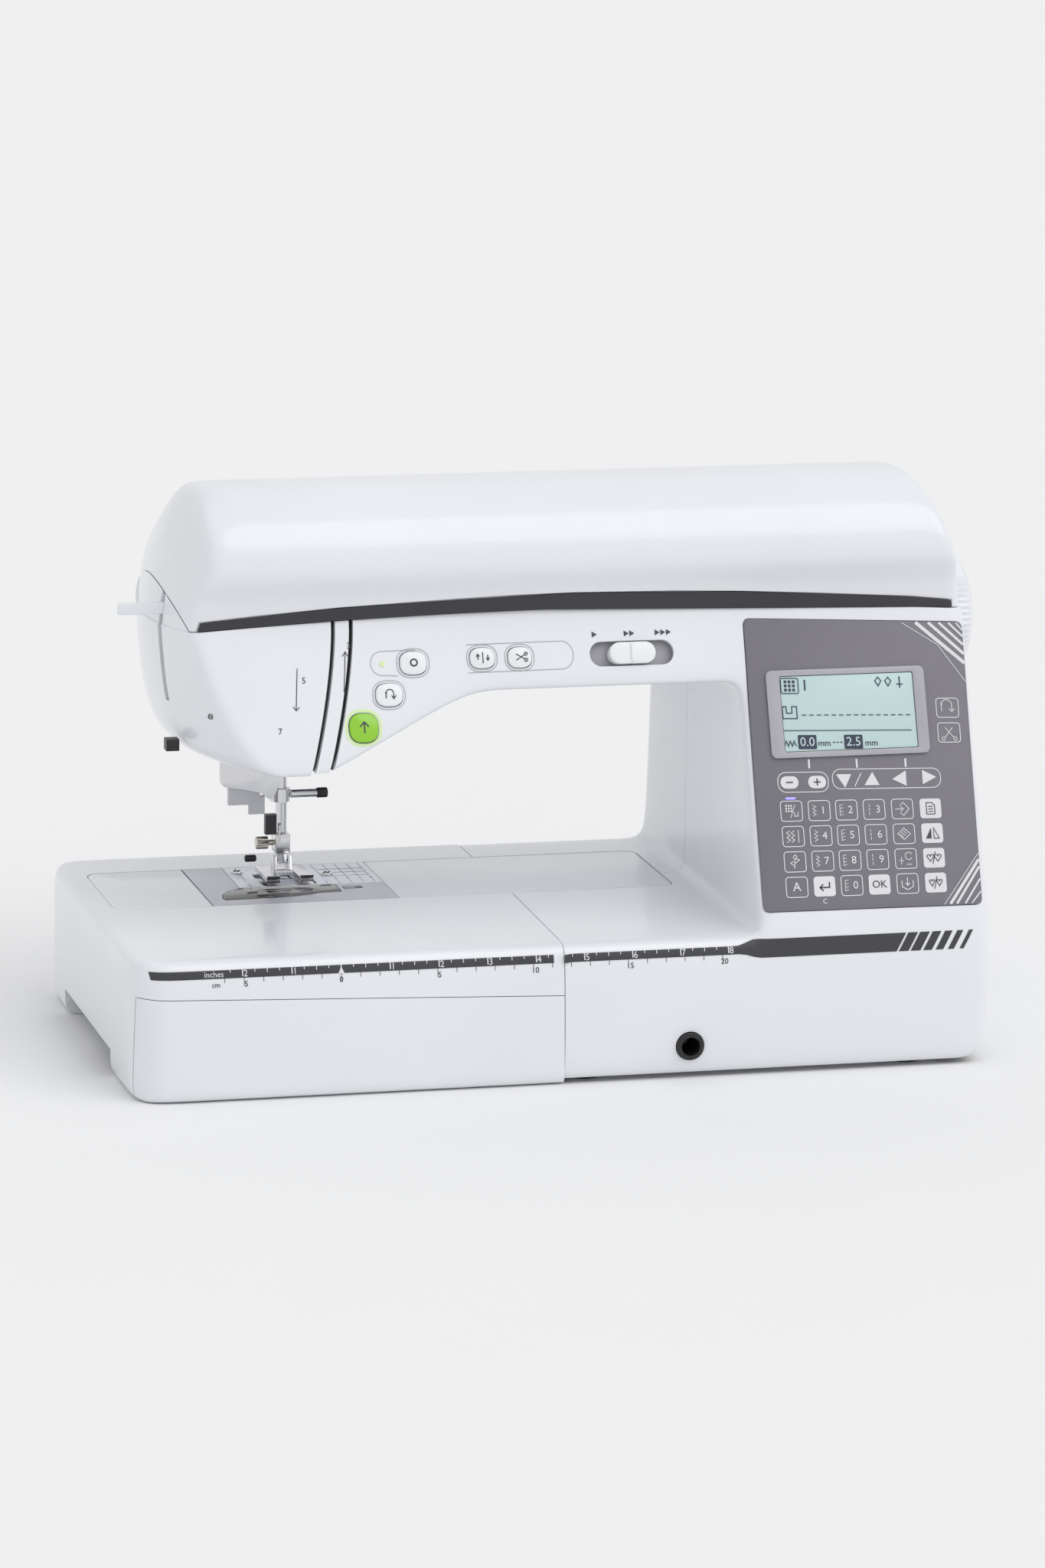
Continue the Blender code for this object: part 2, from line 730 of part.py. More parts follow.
def make_front_cover():
    item = housing_shell("front_cover", "front")
    half = plan_prism(
        "keep_front", [(-0.30, -0.20), (0.30, -0.20), (0.30, 0.0300), (-0.30, 0.0300)], -0.05, 0.40
    )
    keep(item, half)
    cut(
        item,
        arm_way("front"),
        tray_way("front"),
        front_prism("cut_head_side", left_of_slot(SLOT_WIDTH + SECOND_SLOT), -0.2, 0.2),
        needle_way(),
    )
    cut(
        item,
        on_face("cut_panel", panel_outline(GAP), PANEL_X, PANEL_FOOT_Z, -0.0017, 0.0080),
        on_face("cut_panel_well", panel_outline(-0.0050), PANEL_X, PANEL_FOOT_Z, -0.0100, 0.0010),
    )
    for name, x, z, width, height, spec in BUTTONS:
        hole = ellipse(width + 2 * GAP, height + 2 * GAP)
        cut(item, on_face("cut_" + name, hole, x, z, -0.010, 0.010))
    width, height = SPEED_SLOT
    slot = rounded_rectangle(-width / 2, -height / 2, width / 2, height / 2, height / 2 - 0.0001)
    cut(item, on_face("cut_speed_slot", slot, SPEED_X, SPEED_Z, -0.010, 0.010))
    cut(item, rod("cut_knee", (KNEE_X, -0.140, KNEE_Z), 0.040, KNEE_RADIUS + GAP, "Y"))
    cut(item, rod("cut_shaft_front", (0.190, SHAFT_Y, SHAFT_Z), 0.040, 0.0120, "X"))
    return item


def arm_outline(margin, right=ARM_RIGHT):
    """The free arm seen from above, grown by a margin."""
    return rounded_rectangle(
        ARM_LEFT - margin, ARM_FRONT_Y - margin, right + margin, ARM_BACK_Y + margin,
        ARM_CORNER + margin,
    )


def arm_way(label):
    """Where the free arm lies in the bed."""
    return plan_prism("cut_arm_" + label, arm_outline(GAP), -0.05, 0.0770)


def tray_way(label):
    """Everything to the left of the seam between the tray and the housing."""
    points = [(-0.30, -0.20), (SEAM_X - 0.0015, -0.20), (SEAM_X + 0.0025, 0.0),
              (SEAM_X + 0.0010, 0.20), (-0.30, 0.20)]
    return plan_prism("cut_tray_" + label, points, -0.05, 0.12)


def make_rear_cover():
    item = housing_shell("rear_cover", "rear")
    half = plan_prism(
        "keep_rear",
        [(-0.30, 0.0604), (-0.1416, 0.0604), (-0.1416, 0.0304), (0.30, 0.0304), (0.30, 0.20),
         (-0.30, 0.20)],
        -0.05, 0.40,
    )
    keep(item, half)
    cut(
        item,
        arm_way("rear"),
        tray_way("rear"),
        needle_way(),
        box("cut_lever_way", (-0.1240, 0.0825, 0.1400), (-0.0660, 0.0960, 0.2050)),
        rod("cut_shaft_rear", (0.190, SHAFT_Y, SHAFT_Z), 0.040, 0.0120, "X"),
        box("cut_inlet", (0.195, INLET_Y - 0.0150, INLET_Z - 0.0110),
            (0.230, INLET_Y + 0.0150, INLET_Z + 0.0110)),
        box("cut_switch", (0.195, SWITCH_Y - 0.0110, SWITCH_Z - 0.0080),
            (0.230, SWITCH_Y + 0.0110, SWITCH_Z + 0.0080)),
        box("cut_grip", (-0.0450, 0.080, 0.2080), (0.0650, 0.130, 0.2260)),
    )
    return item


def make_face_cover():
    item = housing_shell("face_cover", "face")
    half = plan_prism(
        "keep_face", [(-0.30, -0.20), (-0.05, -0.20), (-0.05, 0.0600), (-0.30, 0.0600)], 0.10, 0.40
    )
    side = front_prism("keep_face_side", left_of_slot(0.0), -0.2, 0.2)
    cap = crown_form("face_cap", 0.0, 1)
    keep(cap, left_of_lid_seam("keep_cap", 0.0), plan_prism(
        "keep_cap_front", [(-0.30, -0.20), (-0.05, -0.20), (-0.05, 0.0600), (-0.30, 0.0600)],
        0.10, 0.40))
    cut(cap, crown_form("hollow_cap", WALL, 1))
    keep(item, half, side)
    join(item, cap)
    cut(item, needle_way())
    cut(item, box("cut_threader_slot", (-0.240, THREADER_Y - 0.0022, 0.1880),
                  (-0.190, THREADER_Y + 0.0022, 0.2480)))
    return item


def make_thread_guide_cover():
    """The narrow strip between the two thread slots."""
    item = as_part(housing_form("thread_guide_cover", 0.0, 1), WHITE)
    cut(item, housing_form("hollow_strip", 0.0040, 1),
        front_prism("top_strip", arch_outline(0.40, -0.0002), -0.2, 0.2))
    keep(item, front_prism("keep_strip", left_of_slot(SECOND_SLOT), -0.2, -0.040))
    cut(item, front_prism("cut_strip", left_of_slot(SLOT_WIDTH, 0.10), -0.25, 0.2))
    keep(item, box("keep_strip_height", (-0.30, -0.2, 0.1590), (0.0, 0.0, 0.30)))
    return item


def make_top_lid():
    item = as_part(crown_form("top_lid", 0.0, 1), WHITE)
    below = [(0.30, 0.10), (-0.30, 0.10)]
    arch = [point for point in arch_outline(0.0, 0.0002)[:-2]]
    cut(
        item,
        crown_form("hollow_lid", WALL, 1),
        front_prism("cut_below_arch", arch + below, -0.2, 0.2),
        left_of_lid_seam("cut_cap", 0.0004),
        front_prism("cut_strip_pocket", strip_outline(GAP), -0.0800, STRIP_BACK_Y + GAP),
    )
    set_origin(item, (0.0, LID_HINGE_Y, LID_HINGE_Z))
    return item


def strip_outline(margin):
    """Outline of the lens-shaped strip, grown by a margin; its foot follows the parting line."""
    low = [(x, parting_z(x) + 0.0004 - 4 * margin)
           for x in (-0.1950 - 2 * margin, -0.160, -0.120, -0.070, -0.020, 0.030, 0.080, 0.130,
                     0.170, 0.2050 + 2 * margin)]
    high = [(0.2045 + 2 * margin, 0.2325), (0.1820, 0.2350), (0.1290, 0.2386), (0.0900, 0.2408),
            (0.0540, 0.2422), (0.0020, 0.2430), (-0.0300, 0.2427), (-0.0570, 0.2418),
            (-0.0900, 0.2404), (-0.1220, 0.2390), (-0.1650, 0.2360), (-0.1935 - 2 * margin, 0.2334)]
    return low + [(x, z + margin) for x, z in high]


def make_lid_strip():
    """The dark strip along the lid's front edge."""
    item = front_prism("lid_accent_strip", strip_outline(0.0), STRIP_FRONT_Y, STRIP_BACK_Y, DARK)
    set_origin(item, (0.0, LID_HINGE_Y, LID_HINGE_Z))
    return item


def make_free_arm():
    item = plan_prism("free_arm_cover", arm_outline(0.0), ARM_LOW, BED_TOP, WHITE)
    cut(
        item,
        box("hollow_arm", (ARM_LEFT + WALL, ARM_FRONT_Y + WALL, ARM_LOW + WALL),
            (ARM_RIGHT + 0.010, ARM_BACK_Y - WALL, BED_TOP - 0.0050)),
        box("cut_plate_bed", (PLATE_LEFT - GAP, -0.010, BED_TOP - 0.0023),
            (PLATE_RIGHT + GAP, 0.100, BED_TOP + 0.010)),
        box("cut_hook_well", (-0.1690, 0.0060, BED_TOP - 0.010), (-0.0805, 0.0790, BED_TOP + 0.005)),
    )
    return item


def make_plates():
    """Needle plate, its plastic surround, the see-through bobbin cover and the latch."""
    low = BED_TOP - PLATE_THICK
    needle_plate = plan_prism(
        "needle_plate",
        [(PLATE_STEP, 0.0383), (PLATE_RIGHT, 0.0383), (PLATE_RIGHT, ARM_BACK_Y),
         (PLATE_STEP, ARM_BACK_Y)],
        low, BED_TOP, PLATE_STEEL,
    )
    cut(needle_plate, box("cut_needle_slot", (NEEDLE_X - 0.0012, 0.0488, 0.06),
                          (NEEDLE_X + 0.0082, 0.0512, 0.08)))
    for x0, x1, y0, y1 in FEED_TEETH:
        cut(needle_plate, box("cut_teeth", (x0 - 0.0005, y0 - 0.0032, 0.06),
                              (x1 + 0.0005, y1 + 0.0032, 0.08)))
    surround = plan_prism(
        "plate_cover",
        [(PLATE_LEFT, ARM_FRONT_Y), (PLATE_RIGHT, ARM_FRONT_Y), (PLATE_RIGHT, PLATE_FRONT_Y - GAP),
         (-0.1012, PLATE_FRONT_Y - GAP), (-0.1012, 0.0192), (-0.1141, 0.0189), (-0.1260, 0.0139),
         (-0.1360, 0.0123), (-0.1654, 0.0115), (-0.1665, 0.0150), (-0.1648, 0.0241),
         (-0.1592, 0.0328), (-0.1528, PLATE_FRONT_Y - GAP), (-0.1528, ARM_BACK_Y),
         (PLATE_LEFT, ARM_BACK_Y)],
        low, BED_TOP, GREY,
    )
    cut(surround, box("cut_latch", (-0.0990, 0.0262, 0.06), (-0.0885, 0.0318, 0.08)))
    plan_prism("bobbin_cover", BOBBIN_COVER, low, BED_TOP, CLEAR)
    box("bobbin_cover_latch", (-0.0986, 0.0266, low), (-0.0925, 0.0314, BED_TOP + 0.0004), GREY)


def make_hook():
    """Rotary hook, bobbin case and bobbin under the plate."""
    cup = turned(
        "rotary_hook", (CENTRE_X, HOOK_Y, 0.0),
        [(0.0, 0.0662), (0.0182, 0.0662), (0.0182, 0.0480), (0.0040, 0.0480), (0.0040, 0.0385),
         (0.0057, 0.0385), (0.0057, 0.0295), (0.0, 0.0295)], "Z", STEEL, 28,
    )
    cut(cup, rod("cut_hook", (CENTRE_X, HOOK_Y, 0.0496), 0.030, 0.0168, "Z", None, 28))
    case = rod("bobbin_case", (CENTRE_X, HOOK_Y, 0.0502), 0.0150, 0.0142, "Z", DARK, 28)
    cut(case, rod("cut_case", (CENTRE_X, HOOK_Y, 0.0516), 0.020, 0.0110, "Z", None, 24))
    bobbin = turned(
        "bobbin", (CENTRE_X, HOOK_Y, 0.0520),
        [(0.0, 0.0115), (0.0103, 0.0115), (0.0103, 0.0105), (0.0075, 0.0105), (0.0075, 0.0010),
         (0.0103, 0.0010), (0.0103, 0.0), (0.0, 0.0)], "Z", CLEAR, 24,
    )
    cut(bobbin, rod("cut_bobbin", (CENTRE_X, HOOK_Y, 0.0500), 0.030, 0.0030, "Z", None, 12))


def make_feed_dog():
    item = box("feed_dog", (-0.1410, 0.0425, 0.0672), (-0.1092, 0.0700, 0.0698), STEEL)
    cut(item, box("cut_feed_window", (-0.1348, 0.0460, 0.06), (-0.1152, 0.0550, 0.08)))
    for number, (x0, x1, y0, y1) in enumerate(FEED_TEETH):
        join(item, box("feed_teeth_%d" % number, (x0, y0, 0.0680), (x1, y1, 0.0716)))
    return item


def make_needle_parts():
    rod("needle_bar", (NEEDLE_X, NEEDLE_Y, 0.1190), 0.1020, 0.0034, "Z", STEEL, 16)
    clamp = rod("needle_clamp", (NEEDLE_X, NEEDLE_Y, 0.1160), 0.0068, 0.0055, "Z", STEEL, 16)
    cut(clamp, rod("cut_clamp", (NEEDLE_X, NEEDLE_Y, 0.1186), 0.010, 0.0037, "Z", None, 16))
    turned(
        "needle_clamp_screw", (NEEDLE_X + 0.0058, NEEDLE_Y, 0.1194),
        [(0.0, 0.0196), (0.0024, 0.0196), (0.0027, 0.0190), (0.0027, 0.0140), (0.0022, 0.0134),
         (0.0022, 0.0), (0.0, 0.0)], "X", STEEL, 14,
    )
    turned(
        "needle", (NEEDLE_X, NEEDLE_Y, 0.0880),
        [(0.0, 0.0277), (0.0010, 0.0277), (0.0010, 0.0160), (0.0005, 0.0145), (0.0004, 0.0025),
         (0.0, 0.0)], "Z", STEEL, 10,
    )
    frame = box("needle_bar_frame", (-0.1400, 0.0425, 0.1720), (-0.1172, 0.0575, 0.2040), CAST, 0.001)
    cut(
        frame,
        rod("cut_frame_bore", (NEEDLE_X, NEEDLE_Y, 0.160), 0.060, 0.0037, "Z", None, 16),
        box("cut_frame_window", (-0.1350, 0.0400, 0.1790), (-0.1222, 0.0600, 0.1970)),
    )


def make_presser_parts():
    rod("presser_bar", (CENTRE_X, PRESSER_Y, 0.0962), 0.1188, 0.0030, "Z", STEEL, 16)
    holder = box("presser_foot_holder", (-0.1290, 0.0574, 0.0850), (-0.1212, 0.0690, 0.0958),
                 STEEL, 0.0006)
    join(holder, box("holder_hook", (-0.1274, 0.0600, 0.0790), (-0.1228, 0.0640, 0.0870)))
    cut(holder, rod("cut_holder", (-0.1350, FOOT_PIVOT_Y, FOOT_PIVOT_Z), 0.020, 0.0014, "X", None, 12),
        box("cut_holder_mouth", (-0.1350, 0.0550, 0.0770), (-0.1150, FOOT_PIVOT_Y, 0.0806)))
    set_origin(holder, (CENTRE_X, PRESSER_Y, 0.0850))
    turned(
        "holder_screw", (-0.1389, PRESSER_Y, 0.0905),
        [(0.0, 0.0096), (0.0016, 0.0096), (0.0016, 0.0070), (0.0034, 0.0064), (0.0034, 0.0006),
         (0.0028, 0.0), (0.0, 0.0)], "X", STEEL, 16,
    )
    sole = outline_solid(
        "presser_foot",
        [(-0.1378, 0.0400), (-0.1305, 0.0390), (-0.1302, 0.0560), (-0.1200, 0.0560),
         (-0.1197, 0.0390), (-0.1124, 0.0400), (-0.1124, 0.0690), (-0.1150, 0.0710),
         (-0.1352, 0.0710), (-0.1378, 0.0690)],
        0.0026, Matrix.Translation((0.0, 0.0, 0.0751)), STEEL,
    )
    join(
        sole,
        side_prism("foot_lug", [(0.0570, 0.0745), (0.0670, 0.0745), (0.0640, 0.0836),
                                (0.0598, 0.0836)], -0.1300, -0.1202),
        side_prism("toe_left", [(0.0405, 0.0740), (0.0430, 0.0740), (0.0400, 0.0778),
                                (0.0378, 0.0778)], -0.1376, -0.1307),
        side_prism("toe_right", [(0.0405, 0.0740), (0.0430, 0.0740), (0.0400, 0.0778),
                                 (0.0378, 0.0778)], -0.1195, -0.1126),
    )
    cut(sole, box("cut_fork", (-0.1281, 0.0520, 0.0766), (-0.1221, 0.0700, 0.0900)))
    join(sole, rod("foot_pin", (-0.1295, FOOT_PIVOT_Y, FOOT_PIVOT_Z), 0.0088, 0.0010, "X", None, 12))
    set_origin(sole, (CENTRE_X, FOOT_PIVOT_Y, FOOT_PIVOT_Z))
    lever = outline_solid(
        "presser_lever",
        [(-0.1170, 0.1850), (-0.1070, 0.1850), (-0.1060, 0.1760), (-0.0950, 0.1420),
         (-0.0900, 0.1270), (-0.0985, 0.1250), (-0.1040, 0.1420), (-0.1160, 0.1760)],
        0.0050, Matrix.Translation((0.0, 0.0892, 0.0)) @ FRONT_VIEW, GREY,
    )
    cut(lever, rod("cut_lever", (LEVER_X, 0.0800, LEVER_Z), 0.020, 0.0028, "Y", None, 14))
    set_origin(lever, (LEVER_X, 0.0892, LEVER_Z))


def make_threader():
    lever = box("threader_lever", (-0.2300, THREADER_Y - 0.0018, 0.2332),
                (-0.1500, THREADER_Y + 0.0018, 0.2390), WHITE)
    join(
        lever,
        box("threader_bar", (-0.1545, THREADER_Y - 0.0018, 0.2332), (-0.1500, 0.0404, 0.2370)),
        box("threader_rod", (-0.1545, 0.0374, 0.1556), (-0.1500, 0.0404, 0.2370)),
    )
    set_origin(lever, (-0.2140, THREADER_Y, 0.2360))
    guard = outline_solid(
        "needle_guard",
        [(-0.1630, 0.1650), (-0.1630, 0.1275), (-0.1500, 0.1262), (-0.1410, 0.1245),
         (-0.1372, 0.1205), (-0.1335, 0.1203), (-0.1308, 0.1330), (-0.1300, 0.1560),
         (-0.1300, 0.1650)],
        0.0016, Matrix.Translation((0.0, 0.0352, 0.0)) @ FRONT_VIEW, GREY,
    )
    head = box("threader_head", (-0.1590, 0.0374, 0.1170), (-0.1420, 0.0404, 0.1550), GREY, 0.0006)
    join(head, box("threader_claw", (-0.1478, 0.0376, 0.1118), (-0.1394, 0.0402, 0.1215)))
    return lever, guard, head


def make_drive():
    """Hand wheel, main shaft, motor, belts and lower shaft."""
    turned(
        "handwheel", (WHEEL_IN, SHAFT_Y, SHAFT_Z),
        [(0.0, 0.0265), (0.0200, 0.0265), (0.0270, 0.0257), (0.0298, 0.0240), (0.0310, 0.0210),
         (0.0310, 0.0100), (0.0295, 0.0040), (0.0260, 0.0), (0.0, 0.0)], "X", WHITE, 36,
    )
    turned(
        "main_shaft", (0.0, SHAFT_Y, SHAFT_Z),
        [(0.0, 0.2130), (0.0045, 0.2130), (0.0045, 0.1850), (0.0170, 0.1850), (0.0170, 0.1720),
         (0.0045, 0.1720), (0.0045, 0.1400), (0.0140, 0.1400), (0.0140, 0.1280),
         (0.0045, 0.1280), (0.0045, -0.0980), (0.0150, -0.0980), (0.0150, -0.1040),
         (0.0, -0.1040)], "X", STEEL, 20,
    )
    turned(
        "lower_shaft", (0.0, LOWER_Y, LOWER_Z),
        [(0.0, 0.1450), (0.0035, 0.1450), (0.0035, 0.1400), (0.0140, 0.1400), (0.0140, 0.1280),
         (0.0035, 0.1280), (0.0035, CENTRE_X + 0.0040), (0.0115, CENTRE_X + 0.0040),
         (0.0115, CENTRE_X - 0.0040), (0.0035, CENTRE_X - 0.0040), (0.0035, -0.1480),
         (0.0, -0.1480)], "X", STEEL, 18,
    )
    motor = rod("main_motor", (0.1180, MOTOR_Y, MOTOR_Z), 0.0460, 0.0220, "X", MOTOR, 24, 0.001)
    join(motor, rod("motor_nose", (0.1630, MOTOR_Y, MOTOR_Z), 0.0080, 0.0030, "X", None, 12))
    rod("motor_pulley", (0.1715, MOTOR_Y, MOTOR_Z), 0.0140, 0.0060, "X", STEEL, 16)
    wheel = (SHAFT_Y, SHAFT_Z)
    low = (MOTOR_Y, MOTOR_Z)
    belt = side_prism("drive_belt", belt_outline(wheel, 0.0190, low, 0.0080), 0.1740, 0.1830, RUBBER)
    cut(belt, side_prism("cut_drive_belt", belt_outline(wheel, 0.0176, low, 0.0066), 0.17, 0.19))
    lower = (LOWER_Y, LOWER_Z)
    timing = side_prism("timing_belt", belt_outline(wheel, 0.0158, lower, 0.0158), 0.1300, 0.1380,
                        RUBBER)
    cut(timing, side_prism("cut_timing", belt_outline(wheel, 0.0143, lower, 0.0143), 0.12, 0.15))


def make_frame():
    """The cast frame that holds the shafts, seen from the front as a C."""
    item = front_prism(
        "main_frame",
        [(-0.1500, 0.1980), (0.1450, 0.1980), (0.1450, 0.0420), (-0.2100, 0.0420),
         (-0.2100, 0.0240), (0.1700, 0.0240), (0.1700, 0.1960), (0.1950, 0.1960),
         (0.1950, 0.2255), (-0.1500, 0.2255)],
        0.0720, 0.0820, CAST,
    )
    for x in (-0.0880, 0.0500, 0.1520):
        join(item, box("lug", (x, 0.0290, 0.2000), (x + 0.0080, 0.0740, 0.2180)))
    for x in (-0.1450, 0.0900):
        join(item, box("low_lug", (x, 0.0450, 0.0255), (x + 0.0080, 0.0740, 0.0410)))
    join(
        item,
        box("take_up_lug", (-0.1165, 0.0150, 0.2050), (-0.1115, 0.0740, 0.2130)),
        rod("take_up_pin", (-0.1262, TAKE_UP_Y, TAKE_UP_Z), 0.0110, 0.0019, "X", None, 14),
        box("lever_bracket", (-0.1180, 0.0735, 0.1720), (-0.1050, 0.0805, 0.2000)),
        rod("lever_pin", (LEVER_X, 0.0800, LEVER_Z), 0.0125, 0.0025, "Y", None, 14),
        box("bar_guide", (-0.1310, 0.0585, 0.2000), (-0.1190, 0.0740, 0.2080)),
    )
    cut(item, rod("cut_bar_guide", (CENTRE_X, PRESSER_Y, 0.1900), 0.030, 0.0033, "Z", None, 16))
    cut(item, rod("cut_shaft_bore", (-0.12, SHAFT_Y, SHAFT_Z), 0.33, 0.0048, "X", None, 20))
    cut(item, rod("cut_lower_bore", (-0.17, LOWER_Y, LOWER_Z), 0.33, 0.0038, "X", None, 18))
    for x in (0.1475, 0.1625):
        join(item, box("frame_foot", (x, 0.0735, 0.0058), (x + 0.0050, 0.0805, 0.0260)))
    return item


def make_deck():
    """Deck under the lid, with the spool pin, its cap and the bobbin winder."""
    deck = box("top_deck", (-0.0850, -0.0480, 0.2282), (0.1980, 0.0960, 0.2306), GREY)
    pin = rod("spool_pin", (-0.0300, 0.0560, 0.2480), 0.0800, 0.0028, "X", WHITE, 12)
    join(pin, box("pin_foot", (0.0480, 0.0500, 0.2310), (0.0560, 0.0620, 0.2520)))
    cap = rod("spool_cap", (-0.0220, 0.0560, 0.2480), 0.0040, 0.0130, "X", WHITE, 24)
    cut(cap, rod("cut_cap_bore", (-0.05, 0.0560, 0.2480), 0.05, 0.0031, "X", None, 12))
    winder = turned(
        "bobbin_winder", (WINDER_X, WINDER_Y, 0.2310),
        [(0.0, 0.0190), (0.0028, 0.0190), (0.0030, 0.0060), (0.0105, 0.0055), (0.0105, 0.0),
         (0.0, 0.0)], "Z", WHITE, 20,
    )
    return deck, pin, cap, winder


def make_take_up():
    item = outline_solid(
        "take_up_lever",
        [(0.0240, 0.2050), (0.0250, 0.2110), (0.0200, 0.2140), (-0.0400, 0.2350),
         (-0.0480, 0.2330), (-0.0470, 0.2290), (-0.0380, 0.2300), (0.0170, 0.2050)],
        0.0016, Matrix.Translation((TAKE_UP_X, 0.0, 0.0)) @ SIDE_VIEW, STEEL,
    )
    cut(item, rod("cut_take_up", (-0.1300, TAKE_UP_Y, TAKE_UP_Z), 0.010, 0.0022, "X", None, 14))
    set_origin(item, (TAKE_UP_X, TAKE_UP_Y, TAKE_UP_Z))
    return item


def make_panel():
    """Control panel film, LCD frame and screen."""
    on_face("control_panel", panel_outline(0.0), PANEL_X, PANEL_FOOT_Z, -0.0014, 0.0006, PANEL)
    frame = on_face("lcd_frame", rounded_rectangle(-0.0495, 0.0792, 0.0357, 0.1250, 0.0030),
                    PANEL_X, PANEL_FOOT_Z, 0.0009, 0.0021, GREY)
    cut(frame, on_face("cut_lcd", rounded_rectangle(-0.0424, 0.0822, 0.0297, 0.1220, 0.0010),
                       PANEL_X, PANEL_FOOT_Z, 0.0, 0.0100))
    on_face("lcd_screen", rounded_rectangle(-0.0421, 0.0825, 0.0294, 0.1217, 0.0008),
            PANEL_X, PANEL_FOOT_Z, 0.0009, 0.0016, LCD)


def make_controls():
    for name, x, z, width, height, spec in BUTTONS:
        item = on_face(name, ellipse(width, height), x, z, -0.0040, 0.0016, spec)
        bevel(item, 0.0006, 1, 50.0)
    width, height = SPEED_KNOB
    knob = rounded_rectangle(-width / 2, -height / 2, width / 2, height / 2, height / 2 - 0.0001)
    bevel(on_face("speed_slider", knob, SPEED_X, SPEED_Z, -0.0040, 0.0030, WHITE), 0.0008, 1, 50.0)


def make_base():
    plate = box("base_plate", (-0.0130, -0.1170, 0.0030), (0.1840, 0.1165, 0.0055), PLATE_STEEL)
    join(
        plate,
        box("end_front", (-0.0118, -0.1140, 0.0040), (-0.0096, -0.0012, 0.0630)),
        box("end_rear", (-0.0118, 0.0866, 0.0040), (-0.0096, 0.1140, 0.0630)),
    )
    for number, (x, y) in enumerate(((-0.002, -0.104), (0.170, -0.104), (-0.002, 0.104),
                                     (0.170, 0.104))):
        rod("foot_%d" % (number + 1), (x, y, 0.0), 0.0027, 0.0095, "Z", RUBBER, 16, 0.0006)
    socket = rod("knee_lifter_socket", (KNEE_X, -0.1250, KNEE_Z), 0.0240, KNEE_RADIUS, "Y", GREY, 20)
    cut(socket, rod("cut_socket", (KNEE_X, -0.1300, KNEE_Z), 0.0260, 0.0048, "Y", None, 16))
    inlet = box("power_inlet", (0.1900, INLET_Y - 0.0146, INLET_Z - 0.0106),
                (0.2124, INLET_Y + 0.0146, INLET_Z + 0.0106), DARK)
    cut(inlet, box("cut_inlet_well", (0.1980, INLET_Y - 0.0100, INLET_Z - 0.0060),
                   (0.2200, INLET_Y + 0.0100, INLET_Z + 0.0060)))
    switch = side_prism("power_switch", rounded_rectangle(-0.0102, -0.0070, 0.0102, 0.0070, 0.0010, 1),
                        -0.0050, 0.0030, DARK)
    tilt = Matrix.Rotation(math.radians(-6.0), 4, "Z")
    switch.matrix_world = Matrix.Translation((0.2105, SWITCH_Y, SWITCH_Z)) @ tilt @ switch.matrix_world


def make_tray():
    body = as_part(tray_form("tray_body", 0.0, 1), WHITE)
    seam = plan_prism(
        "keep_tray",
        [(-0.30, -0.20), (SEAM_X - 0.0015 - GAP, -0.20), (SEAM_X + 0.0025 - GAP, 0.0),
         (SEAM_X + 0.0010 - GAP, 0.20), (-0.30, 0.20)],
        -0.05, 0.12,
    )
    keep(body, seam)
    cut(
        body,
        plan_prism("cut_tray_arm", arm_outline(GAP, 0.05), -0.05, 0.10),
        plan_prism("hollow_tray", TRAY_HOLLOW_FRONT, 0.0045, BED_TOP - 0.0034),
        plan_prism("hollow_tray_rear", TRAY_HOLLOW_REAR, -0.01, BED_TOP - 0.0034),
        door_zone("cut_door_zone", 0.0),
        box("cut_hand_grip", (-0.260, -0.0590, -0.01), (-0.2250, 0.0700, 0.0140)),
    )
    door = as_part(tray_form("tray_door", 0.0, 1), WHITE)
    keep(door, seam, door_zone("keep_door_zone", GAP))
    cut(door, tray_form("hollow_door", WALL, 1))
    set_origin(door, (-0.1200, DOOR_HINGE_Y, DOOR_HINGE_Z))
    return body, door


def door_zone(name, gap):
    """The front of the tray that opens, up to a shallow arched line."""
    top = [(0.0, 0.0463 - gap), (-0.1120, 0.0502 - gap), (-0.2066, 0.0534 - gap),
           (-0.2600, 0.0545 - gap)]
    points = [(-0.2600, -0.02), (0.0, -0.02)] + top
    return front_prism(name, points, -0.20, DOOR_DEPTH_Y - 2 * gap)


make_front_cover()
make_rear_cover()
make_face_cover()
make_thread_guide_cover()
make_top_lid()
make_lid_strip()
make_free_arm()
make_plates()
make_hook()
make_feed_dog()
make_needle_parts()
make_presser_parts()
make_threader()
make_drive()
make_frame()
make_deck()
make_take_up()
make_panel()
make_controls()
make_base()
make_tray()
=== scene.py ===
import json
import math

import bmesh
import bpy
from mathutils import Matrix, Vector
from mathutils.bvhtree import BVHTree
from mathutils.geometry import tessellate_polygon

